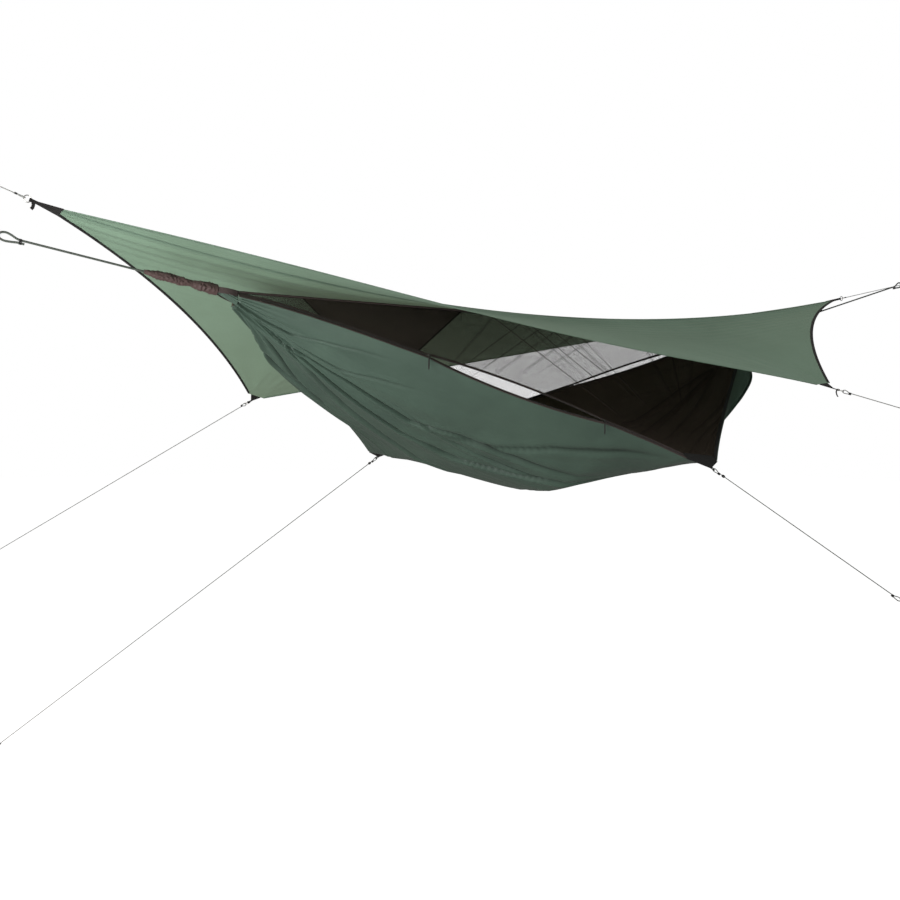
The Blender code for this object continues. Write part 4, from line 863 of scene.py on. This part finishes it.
class HAMMOCK_OT_nets(bpy.types.Operator):
    """Both nets, with the folds that the tie-outs pull into them, and the near net's dark panel"""
    bl_idname = "hammock.nets"
    bl_label = "Nets"

    def execute(self, context):
        looks = context.scene.hammock_looks
        for side, rise in (("near", 1), ("far", 0.6)):
            at = on_side(side)
            stations = np.unique(np.concatenate([
                np.linspace(-HALF + NECK + NET_END_GAP, HALF - NECK - NET_END_GAP, NET_ROWS),
                [CORNER_FROM, CORNER_TO], np.linspace(-0.45, 0.55, NET_ROWS)]))
            rows, folds = [], []
            for a in map(float, stations):
                low = net_edge(side, a) - LAP
                depths = [float(p) for p in SLEEVE_TOP + (low - SLEEVE_TOP) * np.linspace(0, 1, NET_COLUMNS)]
                fold = [tension(side, a, p) for p in depths]
                folds.append([shut for shut, high in fold])
                rows.append([at(a, p, looks.net_fold * high * rise) for p, (shut, high) in zip(depths, fold)])
            obj = cloth(f"{side}_net_cloth", rows, f"{side.capitalize()} knitted net",
                        replaces=[f"{side}_net"], slot="mosquito_net")
            marks = obj.data.attributes.new("fold", "FLOAT", "POINT")
            marks.data.foreach_set("value", np.clip(np.array(folds).ravel(), 0, 1))
        self.panel()
        return {"FINISHED"}

    def panel(self):
        at = on_side("near")
        rows = []
        for s in np.linspace(0, 1, 60):
            top = np.array([mix(*PANEL_TOP, s), SLEEVE_TOP])
            low_a = float(mix(*PANEL_LOW, s))
            low = np.array([low_a, net_edge("near", low_a) - PANEL_OFF_RIM])
            row = []
            for t in np.linspace(0, 1, 36):
                a, p = mix(top, low, t)
                bag = PANEL_BAG * math.sin(math.pi * t) * math.sin(math.pi * s)
                bag += PANEL_CRUMPLE * noise.noise(Vector((a * 11, p * 11, 2.0)))
                row.append(at(float(a), float(p), -PANEL_UNDER - bag))
            rows.append(row)
        obj = cloth("near_panel_cloth", rows, "Panel taffeta", replaces=["near_dark_panel"],
                    slot="dark_fabric")
        walled(obj, 0.0006, offset=0.0)
        for label, edge in (("head", rows[0]), ("foot", rows[-1])):
            along = unit(edge[-1] - edge[0])
            normal = at(0, 0, 1) - at(0, 0, 0)
            band(f"near_panel_{label}_seam", [p - normal * 0.0004 for p in edge], np.cross(along, normal),
                 0.007, 0.0016, "Black polyester webbing", slot="black_webbing")


RIDGE_SHORT, RIDGE_RADIUS, RIDGE_LUMP = 0.016, 0.0044, 0.0005
PUCKER, PUCKER_GAP = 0.0003, 0.011


class HAMMOCK_OT_ridge(bpy.types.Operator):
    """The ridge sleeve with its puckered seam, the cord in it and the tape with the gear hooks"""
    bl_idname = "hammock.ridge"
    bl_label = "Ridgeline"

    def execute(self, context):
        reach = HALF - RIDGE_SHORT
        path = [np.array([x, 0, 0]) for x in np.linspace(-reach, reach, 520)]
        radii = [RIDGE_RADIUS + RIDGE_LUMP * noise.noise(Vector((p[0] * 45, 1.0, 0.0)))
                 + PUCKER * math.sin(p[0] * 2 * math.pi / PUCKER_GAP) for p in path]
        round_rod("ridge_sleeve_cloth", path, radii, "Seam tape taffeta", 16, replaces=["ridge_sleeve"],
                  slot="dark_fabric")
        paint("structural_ridgeline", "Grey braided cord")
        soft_copy("ridge_hook_tape", "hook_tape", "Black polyester webbing", 0.0002)
        for which in "ab":
            node = f"gear_hook_{which}"
            soft_copy(node, f"hook_{which}", "Black acetal", 0.0, body=node, smooth=2)
        return {"FINISHED"}


def node_object(node):
    return frame["nodes"][node] if isinstance(frame["nodes"], dict) else bpy.data.objects[node]


def paint(node, material):
    """Gives a CAD node a better material."""
    obj = node_object(node)
    for index in range(max(1, len(obj.material_slots))):
        if not obj.material_slots:
            obj.data.materials.append(bpy.data.materials[material])
        obj.material_slots[index].material = bpy.data.materials[material]


def soft_copy(node, name, material, bevel, body="root", smooth=0):
    """A finer copy of a CAD node's shape: its facets merged, its edges rounded, and the node hidden."""
    source = node_object(node)
    mesh = source.data.copy()
    mesh.transform(source.matrix_world)
    obj = linked(name, mesh, [material])
    pick(obj)
    bpy.ops.object.mode_set(mode="EDIT")
    bpy.ops.mesh.select_all(action="SELECT")
    bpy.ops.mesh.remove_doubles(threshold=0.00001)
    bpy.ops.mesh.dissolve_limited(angle_limit=math.radians(2))
    bpy.ops.uv.cube_project(cube_size=1.0)
    bpy.ops.object.mode_set(mode="OBJECT")
    if bevel:
        modified(obj, "BEVEL", width=bevel, segments=3, limit_method="ANGLE", angle_limit=math.radians(30))
    if smooth:
        modified(obj, "SUBSURF", levels=smooth, render_levels=smooth)
        smoothed(mesh)
    else:
        pick(obj)
        bpy.ops.object.shade_smooth_by_angle(angle=math.radians(40))
    if obj.data.uv_layers:
        obj.data.uv_layers[0].name = "UVMap"
    return declared(obj, body, [node])


SEAM_TAPE = {"material": "Seam tape taffeta", "pucker": 0.0006, "slot": "dark_fabric"}
ZIP_COIL = {"material": "Zip coil nylon", "columns": 7, "slot": "zip_coil"}
TAPE_FROM, TAPE_TO, RIM_TAPE_HALF = 0.0021, 0.016, 0.009
COIL_HALF, OPEN_COIL_HALF, OPEN_COIL_SHIFT, SLIDER_ROOM = 0.0017, 0.0011, 0.0003, 0.0073


def seam_strip(name, side, stations, edge, first, last, material, low=TAPE_IN, high=TAPE_OUT, columns=8,
               pucker=0.0, hung=False, **more):
    """A tape beside an edge, sewn along the seam or hung along the bed's edge, puckered by its stitches."""
    def at(a, p, q):
        return on_bed_edge(side, a, p - rim(a), q) if hung else on_side(side)(a, p, q)

    rows = []
    for a in map(float, stations):
        start, end = (edge(a) + (place(a) if callable(place) else place) for place in (first, last))
        top, under = [], []
        for t in np.linspace(0, 1, columns):
            p = start + (end - start) * t
            rise = pucker * math.sin(math.pi * t) * (0.5 + 0.5 * noise.noise(Vector((a * 60, t * 3, 5.0))))
            round_off = 1 - (2 * t - 1) ** 8
            top.append(at(a, p, low + (high - low) * (0.35 + 0.65 * round_off) + rise))
            under.append(at(a, p, low))
        rows.append(top + under[::-1])
    return closed_loft(name, rows, material, **more)


class HAMMOCK_OT_zips(bpy.types.Operator):
    """The zip tapes, their closed and open coils, the rim tapes, and the sliders with their pulls"""
    bl_idname = "hammock.zips"
    bl_label = "Zips"

    def execute(self, context):
        for side in ("near", "far"):
            self.one_side(side, lambda a: net_edge(side, a), *OPENINGS[side][:2])
        return {"FINISHED"}

    def one_side(self, side, net, start, end):
        stations = np.unique(np.concatenate([
            np.linspace(ZIP_START, CORNER_FROM - 0.0003, 260), np.linspace(start, end, 90),
            np.linspace(start, start + 0.02, 8), np.linspace(end - 0.02, end, 8)]))
        seam_strip(f"{side}_zip_upper_tape", side, stations, net, -TAPE_TO, -TAPE_FROM,
                   replaces=[f"{side}_zip_net_tape"], **SEAM_TAPE)
        seam_strip(f"{side}_zip_lower_tape", side, stations, rim, TAPE_FROM, TAPE_TO, hung=True,
                   replaces=[f"{side}_zip_bed_tape"], **SEAM_TAPE)
        # a narrower tape carries the seam on from the zip's end to the gathered neck
        seam_strip(f"{side}_neck_tape", side, np.linspace(-HALF + NECK + 0.001, ZIP_START - 0.0005, 40), rim,
                   lambda a: -min(0.012, rim(a) - 0.0062), 0.015, **SEAM_TAPE)
        for which, first, last in (("start", ZIP_START, start - SLIDER_ROOM),
                                   ("end", end + SLIDER_ROOM, CORNER_FROM - 0.0003)):
            label = "head" if (side == "near") == (which == "start") else "foot"
            run = np.linspace(first, last, max(12, int((last - first) / 0.006)))
            seam_strip(f"{side}_coil_{label}", side, run, rim, -COIL_HALF, COIL_HALF, low=0.0005, high=0.0027,
                       replaces=[f"{side}_zip_coil_{label}"], **ZIP_COIL)
            slider, pull = f"{side}_zip_slider_{label}", f"{side}_zip_pull_{label}"
            soft_copy(slider, f"{side}_slider_{label}", "Blackened zinc alloy", 0.00025, body=slider)
            soft_copy(pull, f"{side}_pull_{label}", "Black braided cord", 0.0, body=pull,
                      smooth=1)
        # the open edges' coils, each along its own tape
        run = np.linspace(start + 0.012, end - 0.012, 120)
        for label, edge, shift in (("upper", net, -OPEN_COIL_SHIFT), ("lower", rim, OPEN_COIL_SHIFT)):
            seam_strip(f"{side}_open_coil_{label}", side, run, edge, shift - OPEN_COIL_HALF,
                       shift + OPEN_COIL_HALF, low=0.0006, high=0.0026, hung=label == "lower", **ZIP_COIL)
        seam_strip(f"{side}_rim_tape", side, np.linspace(CORNER_TO + 0.0003, HALF - NECK - 0.02, 160), rim,
                   -RIM_TAPE_HALF, RIM_TAPE_HALF, "Black polyester webbing", pucker=0.0005,
                   replaces=[f"{side}_rim_binding"], slot="black_webbing")
        soft_copy(f"{side}_tie_out_patch", f"{side}_patch", "Black polyester webbing", 0.0004)


# Fly

RIDGE_GAP, FLY_HALF_WALL = 0.0006, 0.0008
FLY_FROM_CREASE, FLY_ROWS, FLY_COLUMNS = 0.0007, 330, 110
RIDGE_RIPPLE, CORNER_RIPPLE, SIDE_RIPPLE, FLY_DRIFT = 0.0034, 0.0035, 0.0030, 0.0016
HEM_INSIDE, HEM_OUTSIDE, HEM_PUCKER, HEM_SWELL = 0.0006, 0.0017, 0.0003, 0.0002
SEAM_HALF, SEAM_SHOULDER, SEAM_FLAT, SEAM_LOW, SEAM_HIGH, SEAM_PUCKER = (
    0.010, 0.0098, 0.005, 0.0009, 0.0019, 0.0002)


def ridge_height(x):
    low = SLEEVE_RADIUS + RIDGE_GAP + FLY_HALF_WALL
    end = FLY_L if x < 0 else FLY_R
    return low + (end[2] - low) * (x / end[0]) ** 2


def fly_edge(side, share, leg):
    corner = FLY_N if side == "near" else FLY_F
    first, last = (FLY_L, corner) if leg == 0 else (corner, FLY_R)
    point = mix(first, last, share)
    if (side == "near") == (leg == 1):
        bow = FLY_FOOT_BOW if side == "near" else FLY_HEAD_BOW
        chord = unit(last - first)
        inward = flat_to((FLY_L if side == "near" else FLY_R) - corner, chord)
        return point + inward * bow * 4 * share * (1 - share)
    if side == "near":
        return point - UP * FLY_SAG * math.sin(math.pi * share ** 1.4) ** 2
    return point


class FlyEdge:
    """One panel's edge line, cut straight across at its corner."""

    def __init__(self, side):
        legs = [[fly_edge(side, k / 120, leg) for k in range(121)] for leg in (0, 1)]
        corner = legs[0][-1]
        self.before, self.after = (
            min(leg, key=lambda p: abs(np.linalg.norm(p - corner) - FLY_CORNER_CUT)) for leg in legs)
        self.line = np.array([p for p in legs[0] if p[0] <= self.before[0]]
                             + [p for p in legs[1] if p[0] >= self.after[0]])

    def at(self, x):
        return np.array([np.interp(x, self.line[:, 0], self.line[:, k]) for k in range(3)])


def fly_frame(edge):
    top = np.array([edge[0], 0, ridge_height(edge[0])])
    way = unit(edge - top)
    normal = np.array([0, -way[2], way[1]])
    return top, way, normal if normal[2] > 0 else -normal, float(np.linalg.norm(edge - top))


def fly_lift(side, point, p, width):
    """Tension ripples: along the ridge, and fanning out from the corners."""
    ridge = RIDGE_RIPPLE * math.exp(-p / 0.16) * math.sin(2 * math.pi * p / 0.042 + 1.6 * point[0])
    total = ridge * min(1.0, p / 0.03)
    for corner, reach, waves, size in (
            (FLY_L, 0.9, 15, CORNER_RIPPLE), (FLY_R, 0.9, 15, CORNER_RIPPLE),
            (FLY_N if side == "near" else FLY_F, 0.6, 13, SIDE_RIPPLE)):
        run = point - corner
        away = float(np.linalg.norm(run))
        if away < 1e-6:
            continue
        angle = math.atan2(math.hypot(run[1], run[2]), abs(run[0]))
        high = size * away * math.exp(-away / (reach * 0.30)) * 4.2
        bend = 2.2 * noise.noise(Vector((angle * 2, away, 0.3)))
        total += high * math.cos(waves * angle * 2 + bend)
    total += FLY_DRIFT * noise.noise(Vector((point[0] * 3.1, p * 4.7, 9.0 if side == "near" else 4.0)))
    edge = min(p / 0.02, (width - p) / 0.05, 1.0)
    return total * max(edge, 0.0)


class HAMMOCK_OT_fly(bpy.types.Operator):
    """The fly's two panels with their ripples, the ridge seam, hems, bindings and corner pieces"""
    bl_idname = "hammock.fly"
    bl_label = "Fly"

    def execute(self, context):
        first, last = FLY_L[0] + FLY_TIP_CUT, FLY_R[0] - FLY_TIP_CUT
        edges = {side: FlyEdge(side) for side in ("near", "far")}
        for side, line in edges.items():
            stations = np.unique(np.concatenate([np.linspace(first, last, FLY_ROWS),
                                                 [line.before[0], line.after[0]]]))
            rows = []
            for x in stations:
                edge = line.at(float(x))
                top, way, normal, width = fly_frame(edge)
                depths = FLY_FROM_CREASE + (width - FLY_FROM_CREASE) * np.linspace(0, 1, FLY_COLUMNS)
                rows.append([top + way * p + normal * fly_lift(side, top + way * p, p, width)
                             for p in depths])
            obj = cloth(f"fly_{side}_cloth", rows, "Fly coated nylon", replaces=[f"fly_{side}_panel"],
                        slot="fly_fabric")
            face_out(obj, UP)
            self.edging(side, line, stations)
        self.seam(edges, np.linspace(first, last, 300))
        for name in ("head", "foot", "near", "far"):
            soft_copy(f"fly_{name}_strap", f"fly_{name}_webbing", "Black polyester webbing", 0.0004)
        return {"FINISHED"}

    def edging(self, side, line, stations):
        """A folded black binding on the curved edge, and a hem turned under the straight one."""
        legs = [[x for x in stations if x <= line.before[0] + 1e-6],
                [x for x in stations if x >= line.after[0] - 1e-6]]
        plain, curved = legs if side == "near" else legs[::-1]
        for run, kind in ((curved, "binding"), (plain, "hem")):
            rings = []
            for x in run:
                edge = line.at(float(x))
                _, way, normal, width = fly_frame(edge)
                deep = min(FLY_EDGE, width * 0.4)
                pucker = HEM_PUCKER * noise.noise(Vector((x * 55, 3.0, 1.0)))
                q1, q2 = HEM_INSIDE, HEM_OUTSIDE + pucker
                if kind == "binding":
                    shape = [(-deep, q1), (-deep, q2), (-deep / 2, q2 + HEM_SWELL), (-0.0005, q2),
                             (0.0009, 0.0011), (0.0013, 0.0), (0.0009, -0.0011), (-0.0005, -q2),
                             (-deep / 2, -q2 - HEM_SWELL), (-deep, -q2), (-deep, -q1), (0.0, -q1),
                             (0.0002, 0.0), (0.0, q1)]
                else:
                    shape = [(-deep, -q1), (-0.0002, -q1), (0.0, -0.0012), (-0.0004, -q2),
                             (-deep / 2, -q2 - HEM_SWELL), (-deep, -q2)]
                rings.append([edge + way * p + normal * q for p, q in shape])
            end = "foot" if side == "near" else "head"
            name = f"fly_{end}_binding" if kind == "binding" else f"fly_{side}_hem"
            mat = "Black polyester webbing" if kind == "binding" else "Fly coated nylon"
            closed_loft(f"{name}_cloth", rings, mat, replaces=[name],
                        slot="black_webbing" if kind == "binding" else "fly_fabric")

    def seam(self, edges, stations):
        """The folded seam along the crease."""
        rings = []
        for x in stations:
            top = np.array([x, 0, ridge_height(x)])
            sides = [fly_frame(edges[side].at(float(x)))[1:3] for side in ("near", "far")]
            (wn, nn), (wf, nf) = sides
            up = (nn + nf) / 2
            up = up / float(up @ up)
            high = SEAM_HIGH + SEAM_PUCKER * noise.noise(Vector((x * 60, 0.0, 2.0)))
            low = SEAM_LOW
            rings.append([top + wn * SEAM_HALF + nn * low, top + wn * SEAM_SHOULDER + nn * high * 0.8,
                          top + wn * SEAM_FLAT + nn * high, top + up * high,
                          top + wf * SEAM_FLAT + nf * high, top + wf * SEAM_SHOULDER + nf * high * 0.8,
                          top + wf * SEAM_HALF + nf * low, top + up * low])
        closed_loft("fly_seam_cloth", rings, "Fly coated nylon", replaces=["fly_ridge_seam"],
                    slot="fly_fabric")


# Cords and hardware

EYE_SHARES = ((1.16, 0.0), (1.0, 0.0), (0.78, 0.18), (0.54, 0.70), (0.28, 1.00), (0.07, 0.68), (0.0, 0.0),
              (0.07, -0.68), (0.28, -1.00), (0.56, -0.90), (0.84, -0.70), (1.14, -0.70))
EYE_LENGTH, EYE_WIDTH = 0.030, 0.0115
RING_TO_LINE = 2 * RING_R - RING_WIRE / 2 - LINE / 2 - 0.0003

FLY_LINES = {
    "head": (FLY_L, (-0.949, 0.0, 0.316), (0.30, 0.0, 1.0), 0.125),
    "foot": (FLY_R, (0.978, -0.020, 0.208), (-0.20, 0.0, 1.0), 0.575),
    "far": (FLY_F, (-0.258, 0.803, -0.347), (1.0, 0.30, 0.0), 2.140),
    "near": (FLY_N, (0.230, -0.806, -0.251), (1.0, 0.30, 0.0), 0.270),
}
SIDE_LINES = {"near": ((0.270, -0.758, -0.505), 0.790), "far": ((-0.285, 0.757, -0.516), 3.300)}
ROPES = {"head": 0.700, "foot": 1.280}
HOLE_OUT = 0.016 + 0.0050
ROPE_FROM, ROPE_HIDDEN = 0.0403, 0.040
PATCH_HOLE_IN, PATCH_MIDDLE, PATCH_HOLE, PATCH_ROOM = 0.009, 0.0021, 0.0036, 0.0009


def eye(tip, way, lift, size):
    length, width = EYE_LENGTH * size, EYE_WIDTH / 2 * size
    return [tip + way * length * u + lift * width * v for u, v in EYE_SHARES]


def line_route(tip, way, run, lift, size=1.0, near_eye=True):
    way = unit(way)
    lift, up = flat_to(lift, way), flat_to(UP, way)
    near = smooth_route(eye(tip, way, lift, size), 5)[::-1] if near_eye else [tip]
    far = smooth_route(eye(tip + way * run, -way, up, size), 5)
    count = max(6, int(run / 0.04))
    return near + [mix(near[-1], far[0], i / count) for i in range(1, count)] + far


def cord(name, path, diameter, material, node, slot, **facts):
    """A cord through the points, in place of its node."""
    path = [np.asarray(p, float) for p in path]
    obj = round_rod(name, path, diameter / 2, material, 12, replaces=[node], slot=slot)
    length = float(sum(np.linalg.norm(b - a) for a, b in zip(path, path[1:])))
    rows = [tuple(p + MIDDLE) for p in path]
    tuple(rows[0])
    return obj


TWINE, TWINE_TURNS, TWINE_PITCH, TWINE_STEPS, TWINE_OFF = 0.00055, 7, 0.0012, 18, 0.0006


def whipping(name, tip, way, lift, size, diameter):
    """Twine wound round an eye's standing part and its tail."""
    way = unit(way)
    lift = flat_to(lift, way)
    side = np.cross(way, lift)
    spread = EYE_WIDTH / 2 * size * 0.70
    r = diameter / 2 + TWINE_OFF
    first = EYE_LENGTH * size * 0.96 - TWINE_TURNS * TWINE_PITCH / 2
    path = []
    for k in range(TWINE_TURNS * TWINE_STEPS + 1):
        t = 2 * math.pi * k / TWINE_STEPS
        c, s = math.cos(t), math.sin(t)
        middle = -spread / 2 + (spread / 2) * math.tanh(4 * c)
        path.append(tip + way * (first + TWINE_PITCH * k / TWINE_STEPS)
                    + lift * (middle + r * c) + side * r * s)
    return round_rod(name, path, TWINE, "Black whipping twine", 6, slot="black_webbing")


def corner_frame(name):
    tip, way, width, run = FLY_LINES[name]
    way = unit(way)
    width = flat_to(width, way)
    return tip + way * HOLE_OUT, way, np.cross(way, width), run


def new_ring(name, middle, normal, radius, wire, material, body, node):
    """A round wire ring, added as a torus about its middle."""
    turn = Vector((0, 0, 1)).rotation_difference(Vector(normal)).to_euler()
    deselect()
    bpy.ops.mesh.primitive_torus_add(major_segments=64, minor_segments=20, major_radius=radius,
                                     minor_radius=wire / 2, location=Vector(middle + MIDDLE), rotation=turn)
    obj = bpy.context.active_object
    obj.name = name
    bpy.ops.object.transform_apply(location=True, rotation=True, scale=True)
    bpy.ops.object.shade_smooth()
    obj.data.materials.append(bpy.data.materials[material])
    return declared(obj, body, [node])


class HAMMOCK_OT_lines(bpy.types.Operator):
    """Ropes and lines with their eyes and whippings, the fly's rings and the beads on the side lines"""
    bl_idname = "hammock.lines"
    bl_label = "Ropes and lines"

    def execute(self, context):
        for name in FLY_LINES:
            hole, way, normal, run = corner_frame(name)
            new_ring(f"{name}_round_ring", hole + way * RING_R, normal, RING_R, RING_WIRE,
                     "Zinc-plated steel", f"fly_{name}_ring", f"fly_{name}_ring")
            bear = hole + way * RING_TO_LINE
            route = line_route(bear, way, run, normal)
            first = whipping(f"{name}_line_whipping_in", bear, way, normal, 1.0, LINE)
            last = whipping(f"{name}_line_whipping_out", bear + way * run, -way, UP, 1.0, LINE)
            cord(f"{name}_fly_cord", route, LINE, "Grey braided cord", f"fly_{name}_line", "cord",
                 far_end="knot", with_pieces=[first, last])
        for side, (way, run) in SIDE_LINES.items():
            self.side_line(side, unit(way), run)
        for end, run in ROPES.items():
            way = rope_way(end)
            start = gather_point(end) + way * ROPE_FROM
            size = ROPE / LINE
            route = line_route(start, way, run - ROPE_HIDDEN, ASIDE, size, False)
            tip = start + way * (run - ROPE_HIDDEN)
            wound = whipping(f"{end}_rope_whipping", tip, -way, UP, size, ROPE)
            cord(f"{end}_rope_cord", route, ROPE, "Braided rope", f"{end}_rope", "rope", far_end="knot",
                 with_pieces=[wound, bpy.data.objects[f"{end}_sleeve_ruffles"]])
        return {"FINISHED"}

    def side_line(self, side, way, run):
        at = on_side(side)
        normal = at(0, 0, 1) - at(0, 0, 0)
        near_way = unit(SIDE_LINES["near"][0])
        along = unit((near_way[0], -near_way[1] * OUT - near_way[2] * DOWN))
        hole = np.array([TIE_ALONG, NET_DEPTH]) - along * PATCH_HOLE_IN
        where = at(float(hole[0]), float(hole[1]), PATCH_MIDDLE) + way * (PATCH_HOLE - LINE / 2 - PATCH_ROOM)
        route = line_route(where, way, run, normal)
        first = whipping(f"{side}_side_whipping_in", where, way, normal, 1.0, LINE)
        last = whipping(f"{side}_side_whipping_out", where + way * run, -way, UP, 1.0, LINE)
        node = f"{side}_line_bead"
        bead = soft_copy(node, f"{side}_bead", "Black acetal", 0.0006, body=node)
        cord(f"{side}_side_cord", route, LINE, "Dark braided cord", f"{side}_side_line", "dark_cord",
             far_end="knot", with_pieces=[first, last, bead])


WHITE = (1.0, 1.0, 1.0)
FLOOR_BELOW, FLOOR_GLOW, SKY_LIGHT = 0.02, 0.97, 0.15
# Each lamp's name, place, target, size in metres, power in watts and colour
LAMPS = (
    ("key", (-3.0, -1.1, -0.9), (-0.7, 0.1, -0.15), 1.6, 94.0, WHITE),
    ("fill", (-1.6, -4.2, 0.5), (-0.2, 0.0, -0.2), 2.5, 33.0, (1.0, 0.98, 0.95)),
    ("top", (1.2, -3.0, 3.0), (0.8, -0.4, -0.1), 3.0, 95.0, WHITE),
    ("back", (-0.2, 3.4, 1.8), (-0.1, 0.3, -0.1), 2.0, 115.0, (1.0, 0.84, 0.72)),
)


class HAMMOCK_OT_stage(bpy.types.Operator):
    """The pale floor, the soft lights and the photograph's camera"""
    bl_idname = "hammock.stage"
    bl_label = "Stage"

    def execute(self, context):
        deselect()
        low = CAD_BOX[0][2] - FLOOR_BELOW
        bpy.ops.mesh.primitive_plane_add(size=60, location=(2.0, 0, low))
        floor = bpy.context.active_object
        floor.name = "floor"
        mat, tree, shader = surface("Pale floor", "#9a9a9a", 0.9)
        seen = add(tree, "ShaderNodeLightPath").outputs["Is Camera Ray"]
        glow = add(tree, "ShaderNodeMath", {0: seen, 1: FLOOR_GLOW}, operation="MULTIPLY")
        fill(tree, shader, {"Emission Color": WHITE + (1.0,), "Emission Strength": glow})
        floor.data.materials.append(mat)
        world = bpy.data.worlds.new("Studio")
        context.scene.world = world
        world.use_nodes = True
        sky = world.node_tree
        seen = add(sky, "ShaderNodeLightPath").outputs["Is Camera Ray"]
        level = add(sky, "ShaderNodeMapRange", {0: seen, 3: SKY_LIGHT, 4: 1.0})
        fill(sky, sky.nodes["Background"], {"Color": WHITE + (1.0,), "Strength": level})
        context.scene.view_settings.view_transform = "Standard"
        for name, where, target, size, power, colour in LAMPS:
            lamp = bpy.data.lights.new(name, "AREA")
            lamp.energy = power
            lamp.color = colour
            lamp.size = size
            obj = bpy.data.objects.new(name, lamp)
            context.scene.collection.objects.link(obj)
            obj.visible_camera = False
            obj.location = Vector(np.array(where) + MIDDLE)
            aim = Vector(np.array(target) - np.array(where))
            obj.rotation_euler = aim.to_track_quat("-Z", "Y").to_euler()
        self.camera(context)
        return {"FINISHED"}

    def camera(self, context):
        cp, sp = math.cos(CAMERA_PITCH), math.sin(CAMERA_PITCH)
        cy, sy = math.cos(CAMERA_YAW), math.sin(CAMERA_YAW)
        ahead = np.array([sy * cp, cy * cp, sp])
        right = np.array([cy, -sy, 0.0])
        up = np.cross(right, ahead)
        cr, sr = math.cos(CAMERA_ROLL), math.sin(CAMERA_ROLL)
        right, up = cr * right + sr * up, -sr * right + cr * up
        lens = bpy.data.cameras.new("photo")
        lens.lens = CAMERA_LENS
        lens.sensor_width = CAMERA_SENSOR
        lens.clip_end = CAMERA_SEES
        camera = bpy.data.objects.new("photo", lens)
        context.scene.collection.objects.link(camera)
        turn = Matrix((right, up, -ahead)).transposed().to_4x4()
        turn.translation = Vector(np.array(CAMERA_AT) + MIDDLE)
        camera.matrix_world = turn
        context.scene.camera = camera


class HAMMOCK_PT_panel(bpy.types.Panel):
    """Lists the groups of pieces"""
    bl_idname = "HAMMOCK_PT_panel"
    bl_label = "Hammock tent"
    bl_space_type = "VIEW_3D"
    bl_region_type = "UI"
    bl_category = "Hammock tent"

    def draw(self, context):
        looks = context.scene.hammock_looks
        for name in HammockLooks.__annotations__:
            self.layout.prop(looks, name)
        for kind in OPERATORS:
            self.layout.operator(kind.bl_idname)


OPERATORS = (HAMMOCK_OT_stage, HAMMOCK_OT_bed, HAMMOCK_OT_ends, HAMMOCK_OT_nets, HAMMOCK_OT_ridge,
             HAMMOCK_OT_zips, HAMMOCK_OT_fly, HAMMOCK_OT_lines)
CLASSES = (HammockLooks,) + OPERATORS + (HAMMOCK_PT_panel,)


def register():
    for kind in CLASSES:
        bpy.utils.register_class(kind)
    bpy.types.Scene.hammock_looks = bpy.props.PointerProperty(type=HammockLooks)


def unregister():
    del bpy.types.Scene.hammock_looks
    for kind in reversed(CLASSES):
        bpy.utils.unregister_class(kind)


def main():
    register()
    make_materials(bpy.context.scene.hammock_looks)
    bpy.ops.hammock.stage()
    bpy.ops.hammock.bed()
    bpy.ops.hammock.ends()
    bpy.ops.hammock.nets()
    bpy.ops.hammock.ridge()
    bpy.ops.hammock.zips()
    bpy.ops.hammock.fly()
    bpy.ops.hammock.lines()


if __name__ == "__main__":
    main()
